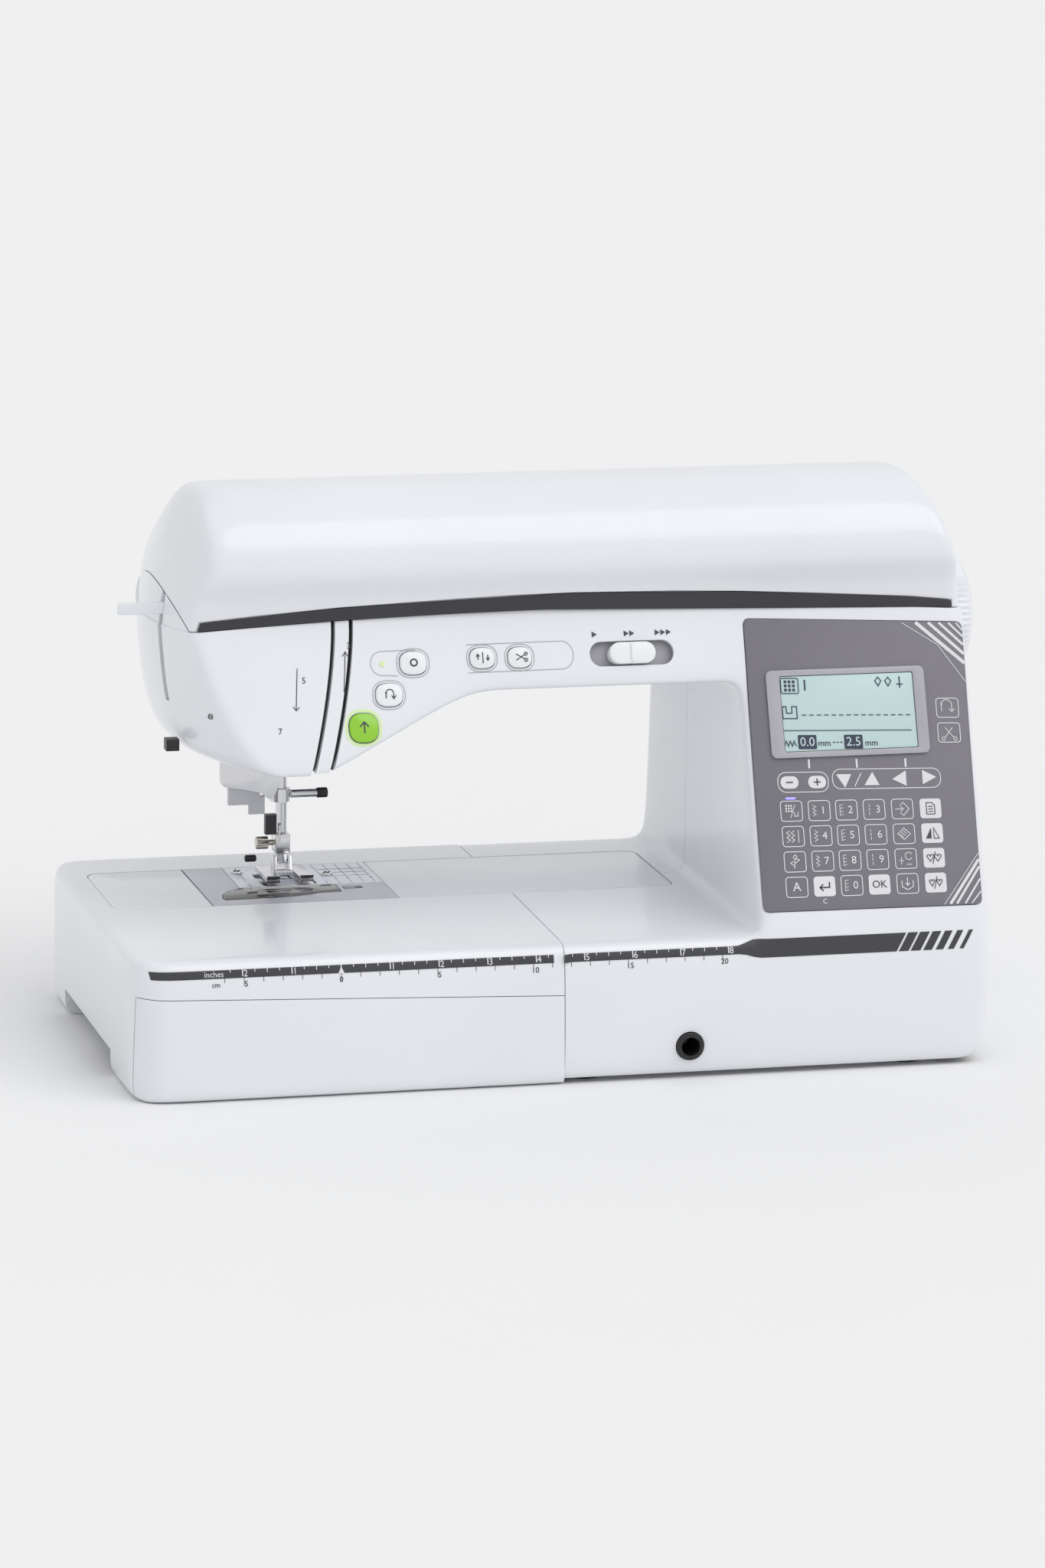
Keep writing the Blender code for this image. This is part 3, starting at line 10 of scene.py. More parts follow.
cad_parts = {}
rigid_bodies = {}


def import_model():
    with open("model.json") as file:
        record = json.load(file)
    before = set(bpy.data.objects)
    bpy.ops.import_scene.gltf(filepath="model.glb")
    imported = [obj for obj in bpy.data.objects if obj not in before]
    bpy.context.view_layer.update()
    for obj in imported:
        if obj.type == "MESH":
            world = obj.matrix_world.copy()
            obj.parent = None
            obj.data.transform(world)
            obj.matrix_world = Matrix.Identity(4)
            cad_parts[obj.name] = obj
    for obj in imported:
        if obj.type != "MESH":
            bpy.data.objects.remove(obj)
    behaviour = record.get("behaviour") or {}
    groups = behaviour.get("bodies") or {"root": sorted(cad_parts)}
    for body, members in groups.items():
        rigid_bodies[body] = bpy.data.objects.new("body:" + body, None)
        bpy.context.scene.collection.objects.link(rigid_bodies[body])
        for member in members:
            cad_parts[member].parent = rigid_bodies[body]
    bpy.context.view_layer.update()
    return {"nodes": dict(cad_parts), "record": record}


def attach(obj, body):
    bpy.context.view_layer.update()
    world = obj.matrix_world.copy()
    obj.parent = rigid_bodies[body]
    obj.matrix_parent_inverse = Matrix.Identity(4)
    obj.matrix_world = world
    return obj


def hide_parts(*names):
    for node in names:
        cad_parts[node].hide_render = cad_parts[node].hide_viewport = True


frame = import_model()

BODY_OF = {n: b for b, nodes in frame["record"]["behaviour"]["bodies"].items() for n in nodes}
SLOT_OF = {s["node"]: s["material_slot"] for s in frame["record"]["subparts"]}

# Sizes in metres, the same as the solids.
GAP = 0.0004
WALL = 0.0026
FOOT_HEIGHT = 0.0030
BASE_LOW = 0.0012
BED_TOP = 0.0724
BED_FRONT = -0.1245
BED_BACK = 0.1240
BEND_Z = 0.0660
BEND_Y = -0.1208
PANEL_TILT = math.radians(69.0)
PANEL_FOOT_Y = -0.1140
PANEL_FOOT_Z = 0.0837
ARM_BACK = 0.1060
ARM_BOTTOM = 0.1950
HEAD_BOTTOM = 0.1570
PARTING_Z = 0.2345
PARTING_X = 0.0020
PARTING_DROP = 0.145
FLANK_X = 0.0880
RIGHT_X = 0.2120
LEFT_X = -0.2200
END_X = -0.2160
END_BULGE_Y = -0.0050
TRAY_LEFT = -0.2400
SEAM_X = -0.0165
NEEDLE_X = -0.1286
NEEDLE_Y = 0.0500
PRESSER_Y = 0.0630
SHAFT_Y = 0.0380
SHAFT_Z = 0.2080
SLOT_TOP_X = -0.1258
SLOT_WIDTH = 0.0022
STRIP_WIDTH = 0.0071
SECOND_SLOT = SLOT_WIDTH + STRIP_WIDTH
THREADER_Y = -0.0260
INLET_Y = 0.0720
INLET_Z = 0.0400
SWITCH_Z = 0.0680
KNEE_X = 0.0496
KNEE_Z = 0.0173
KNEE_RADIUS = 0.0072
SPEED_X = 0.0310
SPEED_Z = 0.2118
SPEED_KNOB = (0.0246, 0.0112)
PANEL_X = 0.1503
PANEL_CORNERS = ((-0.0600, 0.0), (0.0572, -0.0008), (0.0593, 0.1474), (-0.0586, 0.1530))
FACE_OUT = Vector((0.0, -math.sin(PANEL_TILT), math.cos(PANEL_TILT)))
FACE_UP = Vector((0.0, math.cos(PANEL_TILT), math.sin(PANEL_TILT)))
MM = 0.001
LEVELS = 3

# Grids that the smooth forms are drawn on.
BODY_X = [LEFT_X, -0.2080, -0.1880, -0.1600, -0.1330, -0.0945, -0.0560, -0.0380,
          0.0300, 0.0760, FLANK_X, 0.1000, 0.1500, 0.2000, RIGHT_X]
BODY_Z = [BASE_LOW, 0.0120, 0.0560, BED_TOP, 0.0860, 0.1300, 0.1770, ARM_BOTTOM, 0.2050,
          0.2250, 0.2700, 0.3400]
BED_COLUMN = 8
FLANK_COLUMN = 10
BED_ROW = 3
ARM_ROW = 7
DEPTH_STEPS = [0.0, 0.0090, 0.33, 0.66, -0.0140, 0.0]
BED_EDGE = 0.0125
CROWN_X = [LEFT_X, -0.2080, -0.1860, -0.1500, -0.0200, 0.1100, 0.1700, 0.2000, RIGHT_X]
CROWN_FRONT_Z = [0.2000, 0.2200, 0.2460, 0.2560, 0.2780, 0.2915]
CROWN_BACK_Z = [0.2000, 0.2200, 0.2340, 0.2440, 0.2560, 0.2675]
CROWN_FRONT = [-0.0570, -0.0570, -0.0570, -0.0680, -0.0620, -0.0440]
CROWN_BACK = [0.1060, 0.1060, 0.1060, 0.1055, 0.0980, 0.0800]
CROWN_IN_LEFT = [0.0, 0.0010, 0.0030, 0.0040, 0.0085, 0.0195]
CROWN_IN_RIGHT = [0.0, 0.0010, 0.0030, 0.0060, 0.0130, 0.0210]
CROWN_TOP_Z = [0.2915, 0.2990, 0.2995, 0.2865, 0.2725, 0.2675]
CROWN_BLEND = [0.0, 0.06, 0.34, 0.66, 0.92, 1.0]
TRAY_CORNER = 0.0210
TRAY_X = [TRAY_LEFT, TRAY_LEFT + TRAY_CORNER / 2, TRAY_LEFT + TRAY_CORNER, -0.1600, -0.0900,
          -0.0400, 0.0400]
TRAY_Z = [0.0002, 0.0120, 0.0560, BED_TOP]
TRAY_DEPTH = 7

# Seams, keys, the free arm and the tray.
LID_SEAM_LOW = (-0.1981, 0.2270)
LID_SEAM_HIGH = (-0.2260, 0.2880)
SPEED_SLOT = (0.0447, 0.0130)
BUTTONS = (
    ("start_stop_button", -0.1127, 0.1803, 0.0150, 0.0150),
    ("reverse_button", -0.0983, 0.1957, 0.0140, 0.0120),
    ("reinforce_button", -0.0846, 0.2106, 0.0140, 0.0120),
    ("needle_position_button", -0.0483, 0.2118, 0.0130, 0.0108),
    ("thread_cutter_button", -0.0286, 0.2115, 0.0124, 0.0108),
)
ARM_FRONT_Y = -0.0003
ARM_BACK_Y = 0.0853
ARM_LEFT = -0.2264
ARM_RIGHT = 0.0745
ARM_CORNER = 0.0080
STRIP_BACK_Y = -0.0566
TRAY_FLOOR = 0.0045
TRAY_TOP = BED_TOP - 0.0034
TRAY_HOLLOW_FRONT = [(-0.0230, -0.1160), (-0.0230, -0.0034), (-0.2345, -0.0034),
                     (-0.2345, -0.1010), (-0.2320, -0.1085), (-0.2265, -0.1140),
                     (-0.2190, -0.1160)]
TRAY_HOLLOW_REAR = [(-0.0230, ARM_BACK_Y + 0.0032), (-0.0230, 0.1200), (-0.2180, 0.1200),
                    (-0.2255, 0.1180), (-0.2320, 0.1120), (-0.2345, 0.1040),
                    (-0.2345, ARM_BACK_Y + 0.0032)]
DOOR_DEPTH_Y = -0.1100

# Heights of printed marks off their surface, and distances for joining points.
SKIN = 0.00022
SUNK = -0.00008
OVERPRINT = 0.00012
ENGRAVED = (-0.0001, 0.00006)
GROOVE = (-0.0001, 0.00015)
OVER_KEY = (0.0001, 0.0004)
OVER_FILL = (OVERPRINT, 0.0004)
WELD_MARKS = 1e-7
WELD_SOLIDS = 2e-6

# Small parts and the ruler.
SWITCH_FACE_X = 0.2135
SWITCH_LEAN = 0.105
WHEEL_IN = 0.2135
CLAMP_X = NEEDLE_X + 0.0058
CLAMP_Z = 0.1194
COLUMN_BACK = 0.1180
RULER_LOW = 0.0636
RULER_HIGH = 0.0676
INCH_DIGITS_Z = 0.0656
CENTIMETRE_DIGITS_Z = 0.0604
INCH = 0.0254
RULER_ZERO = -0.1330
SLASH_LEAN = 0.0055

# Panel layout in millimetres, across the panel and up its slope.
PANEL_MARKS_LEFT = 91.5
PANEL_MARKS_WIDTH = 117.7
PANEL_MARKS_HEIGHT = 150.0
KEY_COLUMNS = (109.8, 124.7, 139.4, 154.3, 169.5, 184.8)
KEY_ROWS = (51.0, 38.0, 25.0, 12.0)
KEY_SIZE = (11.5, 10.3)
LIGHT_KEYS = ((3, 1), (3, 3), (0, 5), (1, 5), (2, 5), (3, 5))

# The body that each key is, and the height of its top off the face, in metres.
BUTTON_BODY = {"start_stop_button": "button_start", "reverse_button": "button_reverse",
               "reinforce_button": "button_reinforce", "needle_position_button": "button_needle",
               "thread_cutter_button": "button_cut"}
BUTTON_TOP = 0.0016 + 0.0006

# Stage, light and camera: lens and sensor in millimetres, places in metres.
FLOOR_HALF = 30.0
FLOOR_WHITE = 0.885
WORLD_COLOUR = (0.985, 0.99, 1.0, 1.0)
WORLD_STRENGTH = 0.79
KEY_FROM = (0.75, -0.75, 1.30)
KEY_STRENGTH = 0.84
KEY_SPREAD = 50.0
FOCAL = 150.72
SENSOR = 36.0
CAMERA_PLACE = Vector((-0.84248, -3.25793, 0.86025))
CAMERA_RIGHT = Vector((0.9695, -0.2449, 0.0134))
CAMERA_UP = Vector((0.0392, 0.2088, 0.9772))


# ---------------------------------------------------------------- materials

def node_tree(name):
    made = bpy.data.materials.new(name)
    made.use_nodes = True
    tree = made.node_tree
    shader = tree.nodes["Principled BSDF"]
    return made, tree, shader


def noise(tree, scale, detail, stretch=(1.0, 1.0, 1.0)):
    place = tree.nodes.new("ShaderNodeTexCoord")
    turn = tree.nodes.new("ShaderNodeMapping")
    turn.inputs["Scale"].default_value = stretch
    tree.links.new(place.outputs["Object"], turn.inputs["Vector"])
    made = tree.nodes.new("ShaderNodeTexNoise")
    made.inputs["Scale"].default_value = scale
    made.inputs["Detail"].default_value = detail
    tree.links.new(turn.outputs["Vector"], made.inputs["Vector"])
    return made


def finish(name, colour, rough, metal=0.0, coat=0.0, shade=0.04, grain=900.0, bump=0.05,
           stretch=(1.0, 1.0, 1.0), rough_spread=0.06):
    """A moulded or metal surface: soft colour drift, fine grain in the bump, uneven gloss."""
    made, tree, shader = node_tree(name)
    shader.inputs["Metallic"].default_value = metal
    shader.inputs["Coat Weight"].default_value = coat
    shader.inputs["Coat Roughness"].default_value = 0.08
    drift = noise(tree, 14.0, 3.0)
    ramp = tree.nodes.new("ShaderNodeValToRGB")
    low = [c * (1.0 - shade) for c in colour]
    high = [min(1.0, c * (1.0 + shade)) for c in colour]
    ramp.color_ramp.elements[0].position = 0.35
    ramp.color_ramp.elements[0].color = (*low, 1.0)
    ramp.color_ramp.elements[1].position = 0.65
    ramp.color_ramp.elements[1].color = (*high, 1.0)
    tree.links.new(drift.outputs["Fac"], ramp.inputs["Fac"])
    tree.links.new(ramp.outputs["Color"], shader.inputs["Base Color"])
    fine = noise(tree, grain, 4.0, stretch)
    spread = tree.nodes.new("ShaderNodeMapRange")
    spread.inputs["To Min"].default_value = max(0.02, rough - rough_spread)
    spread.inputs["To Max"].default_value = rough + rough_spread
    tree.links.new(fine.outputs["Fac"], spread.inputs["Value"])
    tree.links.new(spread.outputs["Result"], shader.inputs["Roughness"])
    bumped = tree.nodes.new("ShaderNodeBump")
    bumped.inputs["Strength"].default_value = bump
    bumped.inputs["Distance"].default_value = 0.0003
    tree.links.new(fine.outputs["Fac"], bumped.inputs["Height"])
    tree.links.new(bumped.outputs["Normal"], shader.inputs["Normal"])
    return made


def clear_finish(name, colour, rough):
    """See-through moulded plastic with a faint tint."""
    made, tree, shader = node_tree(name)
    shader.inputs["Transmission Weight"].default_value = 1.0
    shader.inputs["IOR"].default_value = 1.45
    drift = noise(tree, 60.0, 2.0)
    ramp = tree.nodes.new("ShaderNodeValToRGB")
    ramp.color_ramp.elements[0].color = (*[c * 0.97 for c in colour], 1.0)
    ramp.color_ramp.elements[1].color = (*colour, 1.0)
    tree.links.new(drift.outputs["Fac"], ramp.inputs["Fac"])
    tree.links.new(ramp.outputs["Color"], shader.inputs["Base Color"])
    spread = tree.nodes.new("ShaderNodeMapRange")
    spread.inputs["To Min"].default_value = rough
    spread.inputs["To Max"].default_value = rough + 0.05
    tree.links.new(drift.outputs["Fac"], spread.inputs["Value"])
    tree.links.new(spread.outputs["Result"], shader.inputs["Roughness"])
    return made


def glow_finish(name, colour, strength):
    """A small lamp behind its lens."""
    made, tree, shader = node_tree(name)
    drift = noise(tree, 300.0, 1.0)
    ramp = tree.nodes.new("ShaderNodeValToRGB")
    ramp.color_ramp.elements[0].color = (*[c * 0.9 for c in colour], 1.0)
    ramp.color_ramp.elements[1].color = (*colour, 1.0)
    tree.links.new(drift.outputs["Fac"], ramp.inputs["Fac"])
    tree.links.new(ramp.outputs["Color"], shader.inputs["Base Color"])
    shader.inputs["Emission Color"].default_value = (*colour, 1.0)
    shader.inputs["Emission Strength"].default_value = strength
    return made


WHITE = finish("white_gloss", (0.80, 0.815, 0.85), 0.24, coat=0.35, shade=0.012, bump=0.03)
WHITE_KEY = finish("white_key", (0.84, 0.85, 0.87), 0.30, coat=0.2, shade=0.015, bump=0.04)
SEAM_GREY = finish("seam_grey", (0.42, 0.43, 0.47), 0.5, shade=0.05)
GREY = finish("grey_moulded", (0.42, 0.42, 0.45), 0.42, shade=0.05, grain=1400.0, bump=0.15)
PALE_GREY = finish("pale_grey_moulded", (0.60, 0.60, 0.62), 0.40, shade=0.04, grain=1400.0, bump=0.12)
DARK = finish("dark_moulded", (0.030, 0.029, 0.033), 0.38, shade=0.10, grain=1400.0, bump=0.12)
STRIP_INK = finish("strip_ink", (0.045, 0.045, 0.050), 0.36, shade=0.06, bump=0.04)
BLACK = finish("black_plastic", (0.012, 0.012, 0.013), 0.42, shade=0.2, bump=0.15)
RUBBER = finish("rubber_grain", (0.022, 0.022, 0.022), 0.78, shade=0.2, grain=700.0, bump=0.4)
PLATE_TINT = finish("plate_tint", (0.56, 0.565, 0.62), 0.34, metal=0.5, shade=0.02, grain=900.0,
                    bump=0.05)
STEEL = finish("polished_metal", (0.70, 0.70, 0.71), 0.17, metal=1.0, shade=0.03, grain=300.0,
               bump=0.04, rough_spread=0.05)
BRUSHED = finish("brushed_metal", (0.72, 0.73, 0.79), 0.36, metal=1.0, shade=0.03, grain=260.0,
                 bump=0.12, stretch=(1.0, 14.0, 1.0), rough_spread=0.08)
NICKEL = finish("warm_nickel", (0.62, 0.57, 0.50), 0.22, metal=1.0, shade=0.05, grain=300.0,
                bump=0.05, rough_spread=0.06)
CAST = finish("cast_metal", (0.50, 0.51, 0.53), 0.55, metal=1.0, shade=0.08, grain=420.0, bump=0.5)
MOTOR = finish("motor_metal", (0.25, 0.26, 0.28), 0.48, metal=1.0, shade=0.1, grain=420.0, bump=0.3)
PANEL = finish("panel_film", (0.178, 0.168, 0.192), 0.42, shade=0.03, grain=1600.0, bump=0.12)
PRINT = finish("white_print", (0.74, 0.73, 0.76), 0.45, shade=0.02, bump=0.02)
PRINT_DARK = finish("dark_print", (0.055, 0.055, 0.065), 0.45, shade=0.06, bump=0.02)
LCD = finish("lcd_layer", (0.545, 0.700, 0.700), 0.22, shade=0.02, grain=2600.0, bump=0.02)
LCD_INK = finish("lcd_ink", (0.035, 0.045, 0.080), 0.30, shade=0.05, bump=0.02)
GREEN = finish("green_gloss", (0.25, 0.56, 0.020), 0.22, coat=0.5, shade=0.10, bump=0.03)
GREEN_RING = finish("green_ring", (0.70, 0.86, 0.45), 0.30, shade=0.04, bump=0.03)
CLEAR = clear_finish("clear_moulded", (0.90, 0.91, 0.92), 0.05)
BLUE_LAMP = glow_finish("blue_lamp", (0.22, 0.20, 0.95), 1.6)

SLOT_FINISH = {
    "white_plastic": WHITE, "grey_plastic": GREY, "dark_plastic": DARK, "polished_steel": STEEL,
    "satin_steel": BRUSHED, "cast_aluminium": CAST, "motor_steel": MOTOR, "rubber": RUBBER,
    "green_plastic": GREEN, "clear_plastic": CLEAR, "panel_film": PANEL, "lcd_glass": LCD,
}


# ---------------------------------------------------------------- mesh helpers

def add_mesh(name, mesh, finish_=None):
    made = bpy.data.objects.new(name, mesh)
    bpy.context.scene.collection.objects.link(made)
    if finish_ is not None:
        made.data.materials.clear()
        made.data.materials.append(finish_)
    return made


def mesh_of(bm, name, smooth=True):
    mesh = bpy.data.meshes.new(name)
    bm.to_mesh(mesh)
    bm.free()
    for face in mesh.polygons:
        face.use_smooth = smooth
    return mesh


def settle(item, angle=32.0):
    """Apply the modifiers and shade smooth except over sharp edges."""
    bpy.context.view_layer.update()
    ready = item.evaluated_get(bpy.context.evaluated_depsgraph_get())
    mesh = bpy.data.meshes.new_from_object(ready)
    item.modifiers.clear()
    old = item.data
    item.data = mesh
    bpy.data.meshes.remove(old)
    smooth_by_angle(mesh, angle)
    return item


def smooth_by_angle(mesh, angle=32.0):
    bm = bmesh.new()
    bm.from_mesh(mesh)
    limit = math.radians(angle)
    for face in bm.faces:
        face.smooth = True
    for edge in bm.edges:
        sharp = len(edge.link_faces) == 2 and edge.calc_face_angle(0.0) > limit
        edge.smooth = not sharp
    bm.to_mesh(mesh)
    bm.free()


def boolean(item, other, operation):
    step = item.modifiers.new(operation.lower(), "BOOLEAN")
    step.operation = operation
    step.solver = "MANIFOLD"
    step.object = other
    other.hide_render = True
    other.hide_viewport = True


def cut(item, *others):
    for other in others:
        boolean(item, other, "DIFFERENCE")


def keep(item, *others):
    for other in others:
        boolean(item, other, "INTERSECT")


def drop_tools():
    for item in list(bpy.context.scene.objects):
        if item.get("tool"):
            bpy.data.objects.remove(item)


def tool(item):
    item["tool"] = True
    item.hide_render = True
    return item


def round_edges(item, width, segments=2, angle=35.0):
    step = item.modifiers.new("round", "BEVEL")
    step.width = width
    step.segments = segments
    step.limit_method = "ANGLE"
    step.angle_limit = math.radians(angle)
    step.harden_normals = False
    step.use_clamp_overlap = True
    return item


def axes_frame(origin, x_axis, y_axis):
    x_axis, y_axis = Vector(x_axis).normalized(), Vector(y_axis).normalized()
    made = Matrix((x_axis, y_axis, x_axis.cross(y_axis))).transposed().to_4x4()
    made.translation = origin
    return made


FRONT_VIEW = axes_frame((0.0, 0.0, 0.0), (1.0, 0.0, 0.0), (0.0, 0.0, 1.0))


def prism(name, points, thickness, place, finish_=None):
    """A flat outline given a thickness, half each way, in a frame."""
    bm = bmesh.new()
    low = [bm.verts.new((x, y, -thickness / 2)) for x, y in points]
    high = [bm.verts.new((x, y, thickness / 2)) for x, y in points]
    count = len(points)
    bm.faces.new(list(reversed(low)))
    bm.faces.new(high)
    for i in range(count):
        j = (i + 1) % count
        bm.faces.new((low[i], low[j], high[j], high[i]))
    bmesh.ops.recalc_face_normals(bm, faces=bm.faces)
    bmesh.ops.triangulate(bm, faces=[f for f in bm.faces if len(f.verts) > 4])
    bm.transform(place)
    if place.determinant() < 0:
        bmesh.ops.reverse_faces(bm, faces=bm.faces)
    return add_mesh(name, mesh_of(bm, name, False), finish_)


def front_prism(name, points, y0, y1, finish_=None):
    place = Matrix.Translation((0.0, (y0 + y1) / 2, 0.0)) @ FRONT_VIEW
    return prism(name, points, y1 - y0, place, finish_)


def plan_prism(name, points, z0, z1, finish_=None):
    return prism(name, points, z1 - z0, Matrix.Translation((0.0, 0.0, (z0 + z1) / 2)), finish_)


def block(name, low, high, finish_=None):
    points = [(low[0], low[1]), (high[0], low[1]), (high[0], high[1]), (low[0], high[1])]
    return plan_prism(name, points, low[2], high[2], finish_)


def rounded_rectangle(x0, y0, x1, y1, radius, steps=6):
    points = []
    for cx, cy, start in ((x1 - radius, y0 + radius, -90), (x1 - radius, y1 - radius, 0),
                          (x0 + radius, y1 - radius, 90), (x0 + radius, y0 + radius, 180)):
        for i in range(steps + 1):
            a = math.radians(start + 90 * i / steps)
            points.append((cx + radius * math.cos(a), cy + radius * math.sin(a)))
    return points


def ellipse(width, height, steps=40, power=2.0, cx=0.0, cy=0.0):
    """A closed oval; a power above two squares it off."""
    points = []
    for i in range(steps):
        a = 2 * math.pi * i / steps
        c, s = math.cos(a), math.sin(a)
        points.append((cx + math.copysign(abs(c) ** (2 / power), c) * width / 2,
                       cy + math.copysign(abs(s) ** (2 / power), s) * height / 2))
    return points


AXIS_TURN = {
    "X": Matrix.Rotation(math.radians(90), 4, "Y"),
    "Y": Matrix.Rotation(math.radians(-90), 4, "X"),
    "Z": Matrix.Identity(4),
}


def turned(name, start, profile, axis="Z", finish_=None, steps=48, wave=0.0, teeth=0):
    """A closed profile (radius, height) turned about an axis; teeth cut a knurl in the rim."""
    bm = bmesh.new()
    rings = []
    widest = max(r for r, _ in profile)
    for radius, height in profile:
        if radius < 1e-6:
            rings.append([bm.verts.new((0.0, 0.0, height))])
            continue
        ring = []
        for i in range(steps):
            a = 2 * math.pi * i / steps
            r = radius
            if teeth and radius > widest * 0.93:
                r -= wave * (0.5 + 0.5 * math.cos(a * teeth))
            ring.append(bm.verts.new((r * math.cos(a), r * math.sin(a), height)))
        rings.append(ring)
    for a, b in zip(rings, rings[1:]):
        for i in range(steps):
            j = (i + 1) % steps
            corners = [a[i % len(a)], a[j % len(a)], b[j % len(b)], b[i % len(b)]]
            unique = [v for n, v in enumerate(corners) if v not in corners[:n]]
            if len(unique) > 2:
                bm.faces.new(unique)
    bmesh.ops.recalc_face_normals(bm, faces=bm.faces)
    bm.transform(Matrix.Translation(start) @ AXIS_TURN[axis])
    made = add_mesh(name, mesh_of(bm, name), finish_)
    smooth_by_angle(made.data, 38.0)
    return made


def rod(name, start, length, radius, axis="Z", finish_=None, edge=0.0003, steps=32):
    edge = min(edge, radius * 0.4, length * 0.4)
    profile = [(0.0, 0.0), (radius - edge, 0.0), (radius, edge), (radius, length - edge),
               (radius - edge, length), (0.0, length)]
    return turned(name, start, profile, axis, finish_, steps)


def ride(item, body, slot, *nodes):
    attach(item, body)
    if nodes:
        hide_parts(*nodes)
    return item


def refined(node, width=0.0004, segments=2, finish_=None, angle=30.0, dissolve=2.0):
    """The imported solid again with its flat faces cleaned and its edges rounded."""
    source = frame["nodes"][node]
    bm = bmesh.new()
    bm.from_mesh(source.data)
    bmesh.ops.remove_doubles(bm, verts=bm.verts, dist=WELD_SOLIDS)
    bmesh.ops.dissolve_limit(bm, angle_limit=math.radians(dissolve), verts=bm.verts,
                             edges=bm.edges)
    made = add_mesh(node + "_detail", mesh_of(bm, node), finish_ or SLOT_FINISH[SLOT_OF[node]])
    if width:
        round_edges(made, width, segments, angle)
    settle(made, 40.0)
    return ride(made, BODY_OF[node], SLOT_OF[node], node)


# ---------------------------------------------------------------- forms, as in the solids

def front_y(z):
    if z > BEND_Z:
        return BEND_Y + (z - BEND_Z) / math.tan(PANEL_TILT)
    rise = max(0.0, z - FOOT_HEIGHT) / (BEND_Z - FOOT_HEIGHT)
    return BED_FRONT + (BEND_Y - BED_FRONT) * rise


def back_y(z):
    if z <= BED_TOP + 0.001:
        return BED_BACK
    return COLUMN_BACK + (ARM_BACK - COLUMN_BACK) * (z - BED_TOP) / (PARTING_Z - BED_TOP)


def head_bottom(x):
    left, right = -0.1330, -0.0560
    if x >= right:
        return ARM_BOTTOM
    if x <= left:
        return HEAD_BOTTOM
    return HEAD_BOTTOM + (ARM_BOTTOM - HEAD_BOTTOM) * (x - left) / (right - left)


def left_end(y, z):
    if y < END_BULGE_Y:
        depth = 0.0170 * ((END_BULGE_Y - y) / 0.053) ** 1.8
    else:
        depth = 0.0220 * ((y - END_BULGE_Y) / 0.111) ** 1.3
    low = 0.0220 * max(0.0, (0.1780 - z) / 0.021) ** 2
    return END_X + depth + low


def right_end(z):
    low = min(1.0, max(0.0, (0.018 - z) / 0.015))
    return RIGHT_X - 0.010 * low ** 2


def housing_cell(i, k):
    return (i >= BED_COLUMN - 2 and k < BED_ROW) or i >= FLANK_COLUMN or k >= ARM_ROW


def housing_point(i, j, k, inset):
    x = BODY_X[i]
    z = BODY_Z[k]
    if k == ARM_ROW and x < FLANK_X:
        z = head_bottom(x) + inset
    if k == ARM_ROW + 1:
        z = max(head_bottom(x) + 0.012, HEAD_BOTTOM + 0.012) if x < FLANK_X else z
    if k == BED_ROW:
        z -= inset
    if k == 0:
        z -= 10 * inset
    if i == FLANK_COLUMN:
        x += inset
    if i == BED_COLUMN - 2 and k <= BED_ROW:
        x -= 10 * inset
    front = front_y(z) + inset * 1.05
    back = back_y(z) - inset
    if k == BED_ROW and i >= FLANK_COLUMN:
        back = back_y(BED_TOP) - inset
    depth = back - front
    y = (front, front + (BED_EDGE if k <= BED_ROW else DEPTH_STEPS[1]),
         front + DEPTH_STEPS[2] * depth, front + DEPTH_STEPS[3] * depth, back + DEPTH_STEPS[4],
         back)[j]
    if k >= ARM_ROW and i <= 3:
        end = left_end(y, z) + inset + 0.008 * i
        x = end if i == 0 else max(x, end)
    if i >= len(BODY_X) - 2:
        end = right_end(z) - inset
        x = end if i == len(BODY_X) - 1 else min(x, end - 0.012)
    if k == 0 and j == 0:
        y += 0.003
    if k == 0 and j == 5:
        y -= 0.003
    return Vector((x, y, z))


def lattice(name, counts, filled, place, levels=LEVELS):
    """The closed skin of the filled cells of a grid, smoothed by subdivision."""
    bm = bmesh.new()
    made = {}

    def corner(i, j, k):
        if (i, j, k) not in made:
            made[(i, j, k)] = bm.verts.new(place(i, j, k))
        return made[(i, j, k)]

    def is_filled(i, j, k):
        inside = 0 <= i < counts[0] and 0 <= j < counts[1] and 0 <= k < counts[2]
        return inside and filled(i, k)

    sides = (
        ((-1, 0, 0), ((0, 0, 0), (0, 0, 1), (0, 1, 1), (0, 1, 0))),
        ((1, 0, 0), ((1, 0, 0), (1, 1, 0), (1, 1, 1), (1, 0, 1))),
        ((0, -1, 0), ((0, 0, 0), (1, 0, 0), (1, 0, 1), (0, 0, 1))),
        ((0, 1, 0), ((0, 1, 0), (0, 1, 1), (1, 1, 1), (1, 1, 0))),
        ((0, 0, -1), ((0, 0, 0), (0, 1, 0), (1, 1, 0), (1, 0, 0))),
        ((0, 0, 1), ((0, 0, 1), (1, 0, 1), (1, 1, 1), (0, 1, 1))),
    )
    for i in range(counts[0]):
        for j in range(counts[1]):
            for k in range(counts[2]):
                if not is_filled(i, j, k):
                    continue
                for (di, dj, dk), corners in sides:
                    if not is_filled(i + di, j + dj, k + dk):
                        bm.faces.new([corner(i + a, j + b, k + c) for a, b, c in corners])
    bmesh.ops.recalc_face_normals(bm, faces=bm.faces)
    item = add_mesh(name, mesh_of(bm, name))
    smooth = item.modifiers.new("smooth", "SUBSURF")
    smooth.levels = levels
    smooth.render_levels = levels
    return item


def housing_form(name, inset):
    counts = (len(BODY_X) - 1, len(DEPTH_STEPS) - 1, len(BODY_Z) - 1)
    return lattice(name, counts, housing_cell, lambda i, j, k: housing_point(i, j, k, inset))


